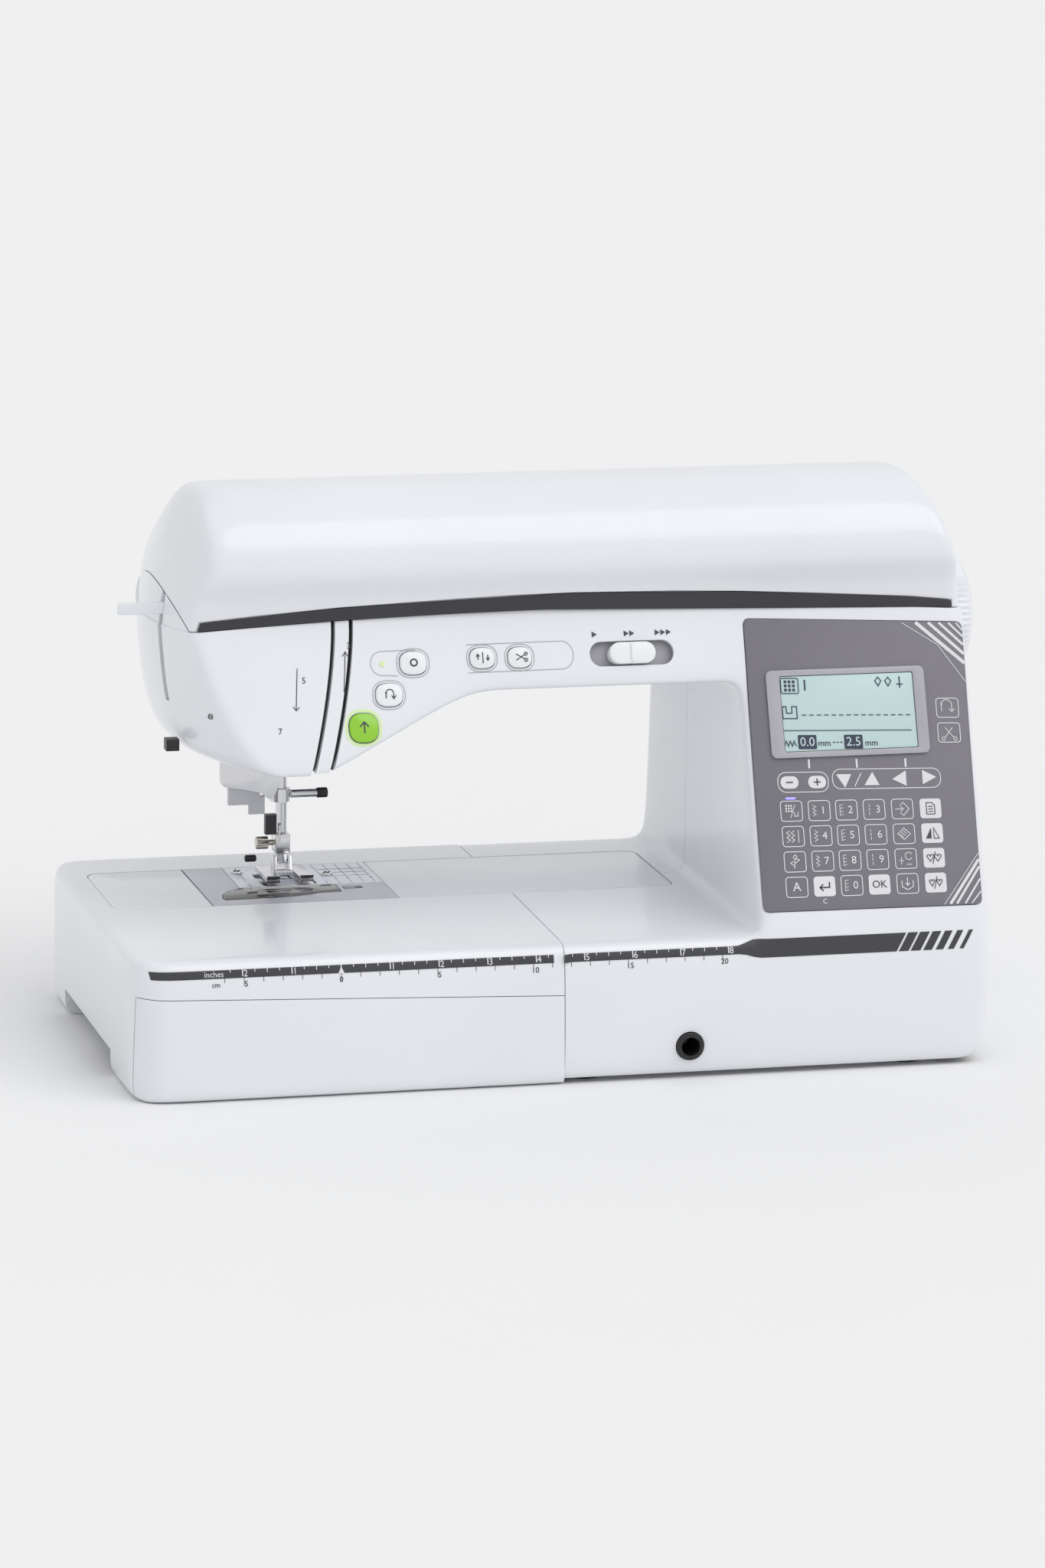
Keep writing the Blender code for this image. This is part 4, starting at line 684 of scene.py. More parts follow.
def parting_z(x):
    return PARTING_Z - PARTING_DROP * (x - PARTING_X) ** 2


def arch_outline(top, low_offset, x0=-0.26, x1=0.26, steps=40):
    points = []
    for i in range(steps + 1):
        x = x0 + (x1 - x0) * i / steps
        points.append((x, parting_z(x) + low_offset))
    return points + [(x1, top), (x0, top)]


def slot_x(z, offset=0.0):
    drop = max(0.0, (0.232 - z) / 0.066)
    return SLOT_TOP_X - 0.0132 * drop ** 1.5 + offset


def left_of_slot(offset, low=0.140):
    heights = [low + (0.232 - low) * i / 18 for i in range(19)] + [0.300]
    line = [(slot_x(max(z, 0.140), offset), z) for z in heights]
    return [(-0.30, low)] + line + [(-0.30, 0.300)]


def crown_point(i, j, k, inset):
    last = len(CROWN_X) - 1
    top = len(CROWN_IN_LEFT) - 1
    z = CROWN_FRONT_Z[k] + CROWN_BLEND[j] * (CROWN_BACK_Z[k] - CROWN_FRONT_Z[k])
    if k == top:
        z = CROWN_TOP_Z[j] - inset - (0.0030 if i in (0, last) else 0.0)
    front = CROWN_FRONT[k] + inset
    back = CROWN_BACK[k] - inset
    depth = back - front
    y = (front, front + 0.009, front + 0.33 * depth, front + 0.66 * depth, back - 0.014, back)[j]
    x = CROWN_X[i]
    if i <= 3:
        end = left_end(y, 0.220) + CROWN_IN_LEFT[k] + inset + 0.009 * i
        x = end if i == 0 else max(x, end)
    if i >= last - 2:
        end = RIGHT_X - CROWN_IN_RIGHT[k] - inset - 0.010 * (last - i)
        x = end if i == last else min(x, end)
    return Vector((x, y, z))


def crown_form(name, inset):
    counts = (len(CROWN_X) - 1, len(DEPTH_STEPS) - 1, len(CROWN_IN_LEFT) - 1)
    return lattice(name, counts, lambda i, k: True, lambda i, j, k: crown_point(i, j, k, inset))


def round_corner(x, y, edge_x, edge_y, side):
    u = 1.0 - (x - edge_x) / TRAY_CORNER
    v = 1.0 - side * (y - edge_y) / TRAY_CORNER
    if u <= 0.0 or v <= 0.0:
        return x, y
    bent_u = u * math.sqrt(1.0 - v * v / 2)
    bent_v = v * math.sqrt(1.0 - u * u / 2)
    return edge_x + TRAY_CORNER * (1.0 - bent_u), edge_y + side * TRAY_CORNER * (1.0 - bent_v)


def tray_point(i, j, k, inset):
    x = TRAY_X[i]
    z = TRAY_Z[k]
    if k == len(TRAY_Z) - 1:
        z -= inset
    if k == 0:
        z += inset
    front = front_y(z) + inset
    back = BED_BACK - inset
    depth = back - front
    y = (front, front + TRAY_CORNER / 2, front + TRAY_CORNER, front + 0.33 * depth,
         front + 0.66 * depth, back - TRAY_CORNER, back - TRAY_CORNER / 2, back)[j]
    left = TRAY_LEFT + inset
    x = max(x, left)
    x, y = round_corner(x, y, left, front, 1.0)
    x, y = round_corner(x, y, left, back, -1.0)
    return Vector((x, y, z))


def tray_form(name, inset):
    counts = (len(TRAY_X) - 1, TRAY_DEPTH, len(TRAY_Z) - 1)
    return lattice(name, counts, lambda i, k: True, lambda i, j, k: tray_point(i, j, k, inset))


def face_point(x, z, out=0.0):
    return Vector((x, PANEL_FOOT_Y + (z - PANEL_FOOT_Z) / math.tan(PANEL_TILT), z)) + out * FACE_OUT


def face_frame(x, z, out=0.0):
    return axes_frame(face_point(x, z, out), (1.0, 0.0, 0.0), FACE_UP)


def on_face(name, points, x, z, low, high, finish_=None):
    return prism(name, points, high - low, face_frame(x, z, (low + high) / 2), finish_)


# ---------------------------------------------------------------- white covers


def left_of_lid_seam(name, shift):
    (x0, z0), (x1, z1) = LID_SEAM_LOW, LID_SEAM_HIGH
    points = [(-0.30, z0), (x0 + shift, z0), (x1 + shift, z1), (-0.30, z1)]
    return tool(front_prism(name, points, -0.2, 0.2))


def strip_outline(margin):
    low = [(x, parting_z(x) + 0.0004 - 4 * margin)
           for x in (-0.1950 - 2 * margin, -0.160, -0.120, -0.070, -0.020, 0.030, 0.080, 0.130,
                     0.170, 0.2050 + 2 * margin)]
    high = [(0.2045 + 2 * margin, 0.2325), (0.1820, 0.2350), (0.1290, 0.2386), (0.0900, 0.2408),
            (0.0540, 0.2422), (0.0020, 0.2430), (-0.0300, 0.2427), (-0.0570, 0.2418),
            (-0.0900, 0.2404), (-0.1220, 0.2390), (-0.1650, 0.2360), (-0.1935 - 2 * margin, 0.2334)]
    return low + [(x, z + margin) for x, z in high]


def top_tool(label):
    return tool(front_prism("top_" + label, arch_outline(0.40, -0.0002), -0.2, 0.2))


def plan_tool(name, points, z0, z1):
    return tool(plan_prism(name, points, z0, z1))


def block_tool(name, low, high):
    return tool(block(name, low, high))


def rod_tool(name, start, length, radius, axis, steps=40):
    return tool(rod(name, start, length, radius, axis, None, 0.00001, steps))


def face_tool(name, points, x, z, low, high):
    return tool(on_face(name, points, x, z, low, high))


def needle_way(label):
    return block_tool("way_" + label, (-0.1645, 0.0260, 0.1400), (-0.1000, 0.0830, 0.1760))


def arm_way(label, right=ARM_RIGHT):
    outline = rounded_rectangle(ARM_LEFT - GAP, ARM_FRONT_Y - GAP, right + GAP, ARM_BACK_Y + GAP,
                                ARM_CORNER + GAP)
    return plan_tool("arm_" + label, outline, -0.05, 0.0770)


def tray_way(label):
    points = [(-0.30, -0.20), (SEAM_X - 0.0015, -0.20), (SEAM_X + 0.0025, 0.0),
              (SEAM_X + 0.0010, 0.20), (-0.30, 0.20)]
    return plan_tool("tray_" + label, points, -0.05, 0.12)


def shell(name, label):
    item = housing_form(name, 0.0)
    cut(item, tool(housing_form("hollow_" + label, WALL)), top_tool(label))
    return item


def dressed(item, node):
    """Apply the cuts, shade smooth, give the white finish and put the cover in its node's place."""
    settle(item, 30.0)
    item.data.materials.clear()
    item.data.materials.append(WHITE)
    return ride(item, BODY_OF[node], SLOT_OF[node], node)


def panel_outline(margin, radius=0.0040, steps=8):
    signs = ((-1, -1), (1, -1), (1, 1), (-1, 1))
    corners = [Vector((x + sx * margin, y + sy * margin))
               for (x, y), (sx, sy) in zip(PANEL_CORNERS, signs)]
    points = []
    for number, corner in enumerate(corners):
        before = corner + (corners[number - 1] - corner).normalized() * radius
        after = corner + (corners[(number + 1) % 4] - corner).normalized() * radius
        for i in range(steps + 1):
            t = i / steps
            point = before * (1 - t) ** 2 + corner * 2 * t * (1 - t) + after * t ** 2
            points.append((point.x, point.y))
    return points


def make_front_cover():
    item = shell("front_cover_detail", "front")
    keep(item, plan_tool("keep_front", [(-0.30, -0.20), (0.30, -0.20), (0.30, 0.03),
                                        (-0.30, 0.03)], -0.05, 0.40))
    cut(item, arm_way("front"), tray_way("front"),
        tool(front_prism("cut_head_side", left_of_slot(SLOT_WIDTH + SECOND_SLOT), -0.2, 0.2)),
        needle_way("front"))
    cut(item, face_tool("cut_panel", panel_outline(GAP), PANEL_X, PANEL_FOOT_Z, -0.0017, 0.0080),
        face_tool("cut_panel_well", panel_outline(-0.0050), PANEL_X, PANEL_FOOT_Z, -0.0100, 0.0010))
    for name, x, z, width, height in BUTTONS:
        hole = ellipse(width + 2 * GAP, height + 2 * GAP, 48, 2.6)
        cut(item, face_tool("cut_" + name, hole, x, z, -0.010, 0.010))
    width, height = SPEED_SLOT
    slot = rounded_rectangle(-width / 2, -height / 2, width / 2, height / 2, height / 2 - 0.0001, 12)
    cut(item, face_tool("cut_speed", slot, SPEED_X, SPEED_Z, -0.010, 0.010),
        rod_tool("cut_knee", (KNEE_X, -0.140, KNEE_Z), 0.040, KNEE_RADIUS + GAP, "Y"),
        rod_tool("cut_shaft_front", (0.190, SHAFT_Y, SHAFT_Z), 0.040, 0.0120, "X"))
    return dressed(item, "front_cover")


def make_rear_cover():
    item = shell("rear_cover_detail", "rear")
    keep(item, plan_tool("keep_rear", [(-0.30, 0.0604), (-0.1416, 0.0604), (-0.1416, 0.0304),
                                       (0.30, 0.0304), (0.30, 0.20), (-0.30, 0.20)], -0.05, 0.40))
    cut(item, arm_way("rear"), tray_way("rear"), needle_way("rear"),
        block_tool("cut_lever_way", (-0.1240, 0.0825, 0.1400), (-0.0660, 0.0960, 0.2050)),
        rod_tool("cut_shaft_rear", (0.190, SHAFT_Y, SHAFT_Z), 0.040, 0.0120, "X"),
        block_tool("cut_inlet", (0.195, INLET_Y - 0.0150, INLET_Z - 0.0110),
                   (0.230, INLET_Y + 0.0150, INLET_Z + 0.0110)),
        block_tool("cut_switch", (0.195, INLET_Y - 0.0110, SWITCH_Z - 0.0080),
                   (0.230, INLET_Y + 0.0110, SWITCH_Z + 0.0080)),
        block_tool("cut_grip", (-0.0450, 0.080, 0.2080), (0.0650, 0.130, 0.2260)))
    for row in range(6):
        for column in range(2):
            x = 0.118 + 0.030 * column
            z = 0.118 + 0.0075 * row
            slot = rounded_rectangle(x, z, x + 0.024, z + 0.0032, 0.0015, 4)
            cut(item, tool(front_prism("vent_%d_%d" % (row, column), slot, 0.100, 0.140)))
    return dressed(item, "rear_cover")


def make_face_cover():
    item = shell("face_cover_detail", "face")
    cap = crown_form("face_cap", 0.0)
    front = [(-0.30, -0.20), (-0.05, -0.20), (-0.05, 0.0600), (-0.30, 0.0600)]
    keep(cap, left_of_lid_seam("keep_cap", 0.0), plan_tool("keep_cap_front", front, 0.10, 0.40))
    cut(cap, tool(crown_form("hollow_cap", WALL)))
    tool(cap)
    keep(item, plan_tool("keep_face", front, 0.10, 0.40),
         tool(front_prism("keep_face_side", left_of_slot(0.0), -0.2, 0.2)))
    boolean(item, cap, "UNION")
    cut(item, needle_way("face"),
        block_tool("cut_threader_slot", (-0.240, THREADER_Y - 0.0022, 0.1880),
                   (-0.190, THREADER_Y + 0.0022, 0.2480)))
    return dressed(item, "face_cover")


def make_thread_guide_cover():
    item = housing_form("thread_guide_cover_detail", 0.0)
    cut(item, tool(housing_form("hollow_strip", 0.0040)), top_tool("strip"))
    keep(item, tool(front_prism("keep_strip", left_of_slot(SECOND_SLOT), -0.2, -0.040)))
    cut(item, tool(front_prism("cut_strip", left_of_slot(SLOT_WIDTH, 0.10), -0.25, 0.2)))
    keep(item, block_tool("keep_strip_height", (-0.30, -0.2, 0.1590), (0.0, 0.0, 0.30)))
    return dressed(item, "thread_guide_cover")


def make_top_lid():
    item = crown_form("top_lid_detail", 0.0)
    below = [(0.30, 0.10), (-0.30, 0.10)]
    arch = arch_outline(0.0, 0.0002)[:-2]
    cut(item, tool(crown_form("hollow_lid", WALL)),
        tool(front_prism("cut_below_arch", arch + below, -0.2, 0.2)),
        left_of_lid_seam("cut_cap", 0.0004),
        tool(front_prism("cut_strip_pocket", strip_outline(GAP), -0.0800, STRIP_BACK_Y + GAP)))
    return dressed(item, "top_lid")


def tray_seam(name):
    points = [(-0.30, -0.20), (SEAM_X - 0.0015 - GAP, -0.20), (SEAM_X + 0.0025 - GAP, 0.0),
              (SEAM_X + 0.0010 - GAP, 0.20), (-0.30, 0.20)]
    return plan_tool(name, points, -0.05, 0.12)


def door_zone(name, gap):
    top = [(0.0, 0.0463 - gap), (-0.1120, 0.0502 - gap), (-0.2066, 0.0534 - gap),
           (-0.2600, 0.0545 - gap)]
    points = [(-0.2600, -0.02), (0.0, -0.02)] + top
    return tool(front_prism(name, points, -0.20, DOOR_DEPTH_Y - 2 * gap))


def make_tray():
    body = tray_form("tray_body_detail", 0.0)
    keep(body, tray_seam("keep_tray"))
    cut(body, arm_way("tray", 0.05),
        plan_tool("hollow_tray", TRAY_HOLLOW_FRONT, TRAY_FLOOR, TRAY_TOP),
        plan_tool("hollow_tray_rear", TRAY_HOLLOW_REAR, -0.01, TRAY_TOP),
        door_zone("cut_door_zone", 0.0),
        block_tool("cut_hand_grip", (-0.260, -0.0590, -0.01), (-0.2250, 0.0700, 0.0140)))
    door = tray_form("tray_door_detail", 0.0)
    keep(door, tray_seam("keep_door_seam"), door_zone("keep_door_zone", GAP))
    cut(door, tool(tray_form("hollow_door", WALL)))
    tray = dressed(body, "tray_body")
    dressed(door, "tray_door")
    return tray


FRONT = make_front_cover()
REAR = make_rear_cover()
FACE = make_face_cover()
GUIDE = make_thread_guide_cover()
make_top_lid()
TRAY = make_tray()
drop_tools()

# ---------------------------------------------------------------- thin printed and raised marks


def add_tile(bm, points, low=SUNK, high=SKIN):
    """A thin closed tile with a flat outline, in the sheet's own frame."""
    outline = [Vector((x, y, 0.0)) for x, y in points]
    bottom = [bm.verts.new((x, y, low)) for x, y in points]
    top = [bm.verts.new((x, y, high)) for x, y in points]
    for a, b, c in tessellate_polygon([outline]):
        bm.faces.new((top[a], top[b], top[c]))
        bm.faces.new((bottom[c], bottom[b], bottom[a]))
    count = len(points)
    for i in range(count):
        j = (i + 1) % count
        bm.faces.new((bottom[i], bottom[j], top[j], top[i]))


def add_stroke(bm, points, width, closed=False, low=SUNK, high=SKIN):
    """A line of even width through points, as a row of tiles with mitred joints."""
    places = [Vector(p) for p in points]
    count = len(places)
    sides = []
    for i, here in enumerate(places):
        ways = []
        if i > 0 or closed:
            ways.append((here - places[i - 1]).normalized())
        if i < count - 1 or closed:
            ways.append((places[(i + 1) % count] - here).normalized())
        across = [Vector((-way.y, way.x)) for way in ways]
        middle = sum(across, Vector((0.0, 0.0))).normalized()
        reach = width / 2 / max(0.4, middle.dot(across[0]))
        sides.append((here + middle * reach, here - middle * reach))
    for i in range(count if closed else count - 1):
        (a, b), (c, d) = sides[i], sides[(i + 1) % count]
        add_tile(bm, [a, c, d, b], low, high)


def add_digits(bm, words, x, y, size, align="CENTER"):
    """Digits or a short unit as thin tiles."""
    curve = bpy.data.curves.new("digits", "FONT")
    curve.body = words
    curve.size = size
    curve.align_x = align
    curve.align_y = "CENTER"
    curve.extrude = SKIN / 2
    curve.resolution_u = 3
    holder = bpy.data.objects.new("digits", curve)
    bpy.context.scene.collection.objects.link(holder)
    bpy.context.view_layer.update()
    ready = holder.evaluated_get(bpy.context.evaluated_depsgraph_get())
    mesh = bpy.data.meshes.new_from_object(ready)
    mesh.transform(Matrix.Translation((x, y, SKIN / 2)))
    bm.from_mesh(mesh)
    bpy.data.objects.remove(holder)
    bpy.data.curves.remove(curve)
    bpy.data.meshes.remove(mesh)


def add_digits_high(bm, words, x, y, size):
    """Digits that sit on top of another printed band."""
    before = set(bm.verts)
    add_digits(bm, words, x, y, size)
    for vert in bm.verts:
        if vert not in before:
            vert.co.z += OVERPRINT


def lay(name, bm, place, finish_, body, slot, smooth=False):
    """Bring a sheet of tiles onto a surface."""
    bmesh.ops.remove_doubles(bm, verts=bm.verts, dist=WELD_MARKS)
    for vert in bm.verts:
        vert.co = place(vert.co.x, vert.co.y, vert.co.z)
    bmesh.ops.recalc_face_normals(bm, faces=bm.faces)
    return ride(add_mesh(name, mesh_of(bm, name, smooth), finish_), body, slot)


def panel_place(out):
    """Panel millimetres (along, up the slope) to the lopsided panel's surface."""
    corners = [Vector(corner) for corner in PANEL_CORNERS]

    def place(x, s, w):
        a = (x - PANEL_MARKS_LEFT) / PANEL_MARKS_WIDTH
        b = s / PANEL_MARKS_HEIGHT
        foot = corners[0].lerp(corners[1], a)
        head = corners[3].lerp(corners[2], a)
        spot = foot.lerp(head, b)
        return face_point(PANEL_X, PANEL_FOOT_Z, out + w) + Vector((spot.x, 0, 0)) + spot.y * FACE_UP

    return place


def world_tree(*items):
    """A search tree over finished covers, for laying marks on their surface."""
    points, faces = [], []
    for item in items:
        start = len(points)
        points += [item.matrix_world @ v.co for v in item.data.vertices]
        faces += [[start + i for i in p.vertices] for p in item.data.polygons]
    return BVHTree.FromPolygons(points, faces)


def front_place(tree):
    """X and Z to the surface met from the front."""
    def place(x, z, w):
        hit, normal, _, _ = tree.ray_cast(Vector((x, -0.4, z)), Vector((0.0, 1.0, 0.0)), 0.5)
        if hit is None:
            return Vector((x, front_y(z) - w, z))
        return hit + normal * w
    return place


def along(start, end, steps):
    return [(start[0] + (end[0] - start[0]) * i / steps, start[1] + (end[1] - start[1]) * i / steps)
            for i in range(steps + 1)]


# ---------------------------------------------------------------- ruler on the front

def ruler_low(x):
    """Lower edge of the ruler band: it steps down near the right end."""
    step = min(1.0, max(0.0, (x - 0.0765) / 0.011))
    return RULER_LOW - 0.0023 * (3 - 2 * step) * step * step


def ruler_high(x):
    step = min(1.0, max(0.0, (x - 0.0740) / 0.012))
    return RULER_HIGH + 0.0030 * (3 - 2 * step) * step * step


def ruler_band(bm, x0, x1, lean0=0.0, lean1=0.0, step=0.004):
    count = max(1, int(round((x1 - x0) / step)))
    xs = [x0 + (x1 - x0) * i / count for i in range(count + 1)]
    for i in range(count):
        a, b = xs[i], xs[i + 1]
        la = lean0 if i == 0 else 0.0
        lb = lean1 if i == count - 1 else 0.0
        add_rows(bm, (a, ruler_low(a)), (b, ruler_low(b)), (b + lb, ruler_high(b)),
                 (a + la, ruler_high(a)))


def add_rows(bm, low_left, low_right, high_right, high_left, rows=8):
    """A leaning tile split into rows, so that it follows a bend in the surface."""
    corners = [Vector(p) for p in (low_left, low_right, high_right, high_left)]
    for n in range(rows):
        a, b = n / rows, (n + 1) / rows
        add_tile(bm, [tuple(corners[0].lerp(corners[3], a)), tuple(corners[1].lerp(corners[2], a)),
                      tuple(corners[1].lerp(corners[2], b)), tuple(corners[0].lerp(corners[3], b))])


def make_ruler(left, right):
    band = bmesh.new()
    ruler_band(band, -0.2300, -0.0222, lean0=-0.0010)
    lay("ruler_band_left", band, left, STRIP_INK, "tray", "dark_plastic")
    band = bmesh.new()
    ruler_band(band, -0.0168, 0.1600, lean1=SLASH_LEAN)
    x = 0.1612
    for width, gap in ((0.0052, 0.0012), (0.0052, 0.0016), (0.0046, 0.0021), (0.0040, 0.0026),
                       (0.0032, 0.0031), (0.0022, 0.0032)):
        low, high = ruler_low(x), ruler_high(x)
        add_rows(band, (x, low), (x + width, low), (x + width + SLASH_LEAN, high),
                 (x + SLASH_LEAN, high))
        x += width + gap
    lay("ruler_band_right", band, right, STRIP_INK, "machine", "dark_plastic")
    for side, place, body, low, high in (("left", left, "tray", -0.1950, -0.0225),
                                         ("right", right, "machine", -0.0165, 0.0710)):
        white = bmesh.new()
        quarter = INCH / 4
        first = math.ceil((low - RULER_ZERO) / quarter)
        last = math.floor((high - RULER_ZERO) / quarter)
        for n in range(first, last + 1):
            x = RULER_ZERO + n * quarter
            tall = 0.0032 if n % 4 == 0 else (0.0018 if n % 2 == 0 else 0.0013)
            half_line = 0.00028 if n % 4 == 0 else 0.00018
            for row in range(4):
                low_z = RULER_HIGH - tall * (row + 1) / 4
                high_z = RULER_HIGH - tall * row / 4
                add_tile(white, [(x - half_line, low_z), (x + half_line, low_z),
                                 (x + half_line, high_z), (x - half_line, high_z)],
                         0.0001, 0.00045)
            if n % 4 == 0 and n:
                add_digits_high(white, str(abs(n) // 4), x + 0.0016, INCH_DIGITS_Z, 0.0046)
        if side == "left":
            add_digits_high(white, "inches", -0.1985, INCH_DIGITS_Z, 0.0040)
            add_tile(white, [(RULER_ZERO - 0.0016, 0.0635), (RULER_ZERO + 0.0016, 0.0635),
                             (RULER_ZERO, 0.0668)], 0.0001, 0.0005)
        lay("ruler_inches_" + side, white, place, PRINT, body, "white_plastic")
        black = bmesh.new()
        half = 0.005
        first = math.ceil((low - RULER_ZERO) / half)
        last = math.floor((high - RULER_ZERO) / half)
        for n in range(first, last + 1):
            x = RULER_ZERO + n * half
            tall = 0.0038 if n % 10 == 0 else (0.0020 if n % 2 == 0 else 0.0)
            if tall:
                add_tile(black, [(x - 0.00011, 0.0634 - tall), (x + 0.00011, 0.0634 - tall),
                                 (x + 0.00011, 0.0636), (x - 0.00011, 0.0636)])
            if n % 10 == 0 and n:
                add_digits(black, str(abs(n) // 2), x + 0.0010, CENTIMETRE_DIGITS_Z, 0.0040)
        if side == "left":
            add_digits(black, "cm", -0.1975, CENTIMETRE_DIGITS_Z, 0.0036)
            add_digits(black, "0", RULER_ZERO, CENTIMETRE_DIGITS_Z, 0.0040)
        lay("ruler_centimetres_" + side, black, place, STRIP_INK, body, "dark_plastic")


make_ruler(front_place(world_tree(TRAY)), front_place(world_tree(FRONT)))

# ---------------------------------------------------------------- control panel


def key_outline(x, s, width=KEY_SIZE[0], height=KEY_SIZE[1], radius=1.6):
    return rounded_rectangle(x - width / 2, s - height / 2, x + width / 2, s + height / 2, radius, 4)


def arc(cx, cy, radius, start, end, steps=10):
    return [(cx + radius * math.cos(math.radians(start + (end - start) * i / steps)),
             cy + radius * math.sin(math.radians(start + (end - start) * i / steps)))
            for i in range(steps + 1)]


def small_icon(bm, row, column, x, s):
    """A simple line drawing for a function key."""
    line = 0.38
    if (row, column) == (0, 0):
        for dx in (-2.8, -1.4, 0.0):
            for ds in (0.0, 1.4, 2.8):
                add_tile(bm, [(x + dx - 0.45, s + ds - 0.45), (x + dx + 0.45, s + ds - 0.45),
                              (x + dx + 0.45, s + ds + 0.45), (x + dx - 0.45, s + ds + 0.45)])
        add_stroke(bm, [(x - 0.6, s - 3.4), (x + 2.0, s + 3.2)], line)
        add_stroke(bm, [(x + 1.6, s - 0.4), (x + 1.6, s - 2.6), (x + 3.4, s - 2.6),
                        (x + 3.4, s - 0.4)], line)
    elif (row, column) == (1, 0):
        for dx in (-2.6, -0.2):
            points = [(x + dx + (0.9 if n % 2 else -0.9), s - 3.0 + 1.2 * n) for n in range(6)]
            add_stroke(bm, points, line)
        add_stroke(bm, [(x + 2.8, s - 3.2), (x + 2.8, s + 3.2)], line)
    elif (row, column) == (2, 0):
        add_stroke(bm, [(x - 0.6, s - 3.4), (x, s + 1.0)], line)
        for side in (-1, 1):
            add_stroke(bm, [(x, s - 1.6 + 0.8 * side), (x + 2.4 * side, s + 0.2 + 0.8 * side),
                            (x + 0.6 * side, s + 1.0 + 0.6 * side)], line)
        add_stroke(bm, [(x, s + 1.0), (x + 1.2, s + 2.8), (x, s + 3.6), (x - 0.8, s + 2.4)], line, True)
    elif (row, column) == (0, 4):
        add_stroke(bm, [(x - 3.8, s), (x + 0.4, s)], line)
        add_stroke(bm, [(x - 0.9, s + 1.3), (x + 0.5, s), (x - 0.9, s - 1.3)], line)
        add_stroke(bm, [(x - 1.2, s + 1.9), (x + 0.6, s + 3.4), (x + 3.6, s), (x + 0.6, s - 3.4),
                        (x - 1.2, s - 1.9)], line)
    elif (row, column) == (1, 4):
        add_stroke(bm, [(x - 3.4, s), (x, s - 3.0), (x + 3.4, s), (x, s + 3.0)], line, True)
        for n in (-1, 0, 1):
            add_stroke(bm, [(x - 1.4 + n * 0.9, s + 0.9 + n * 0.9), (x + 0.6 + n * 0.9,
                                                                     s - 0.9 + n * 0.9)], line)
    elif (row, column) == (2, 4):
        add_stroke(bm, [(x - 2.4, s - 3.0), (x - 2.4, s + 1.0)], line)
        add_stroke(bm, [(x - 3.6, s - 1.0), (x - 1.2, s - 1.0)], line)
        add_stroke(bm, arc(x + 1.6, s + 1.4, 1.9, 30, 330, 12), line)
        add_stroke(bm, [(x + 0.2, s - 3.0), (x + 3.2, s - 3.0)], line)
    elif (row, column) == (0, 5):
        add_stroke(bm, [(x - 2.2, s - 3.0), (x + 2.2, s - 3.0), (x + 2.2, s + 1.6),
                        (x + 0.8, s + 3.0), (x - 2.2, s + 3.0)], line, True)
        for n in range(3):
            add_stroke(bm, [(x - 1.2, s - 1.6 + 1.3 * n), (x + 1.2, s - 1.6 + 1.3 * n)], line)
    elif (row, column) == (1, 5):
        add_tile(bm, [(x - 0.6, s - 2.8), (x - 0.6, s + 2.8), (x - 3.6, s - 2.8)])
        add_stroke(bm, [(x + 0.8, s - 2.8), (x + 0.8, s + 2.8), (x + 3.6, s - 2.8)], line, True)
    else:
        reach = 1.9 if row == 2 else 1.5
        for dx in (-2.0, 2.0):
            add_stroke(bm, arc(x + dx - reach / 2, s + 0.8, reach / 2, 180, 0, 6)
                       + arc(x + dx + reach / 2, s + 0.8, reach / 2, 180, 0, 6)
                       + [(x + dx, s - 1.8)], line, True)
        add_stroke(bm, [(x - 0.8, s - 3.2), (x + 0.8, s + 3.2)], line)


def tiny_stitch(bm, x, s, kind):
    """The small stitch drawing beside a key's number."""
    if kind % 3 == 0:
        add_stroke(bm, [(x, s - 2.8), (x, s - 1.2)], 0.35)
        add_stroke(bm, [(x, s - 0.6), (x, s + 1.0)], 0.35)
        add_stroke(bm, [(x, s + 1.6), (x, s + 2.8)], 0.35)
    elif kind % 3 == 1:
        points = [(x + (0.9 if i % 2 else -0.9), s - 2.8 + 0.95 * i) for i in range(7)]
        add_stroke(bm, points, 0.3)
    else:
        for i in range(4):
            add_stroke(bm, [(x - 0.9, s - 2.7 + 1.7 * i), (x + 0.9, s - 2.1 + 1.7 * i)], 0.3)
        add_stroke(bm, [(x - 0.9, s - 2.8), (x - 0.9, s + 2.8)], 0.3)


def lift_over_fill(bm):
    """Raise the dark marks drawn so far, so that they show on the filled keys."""
    low, high = OVER_FILL
    for vert in bm.verts:
        if vert.co.z < 0.00005:
            vert.co.z = low
        elif vert.co.z < 0.0003:
            vert.co.z = high


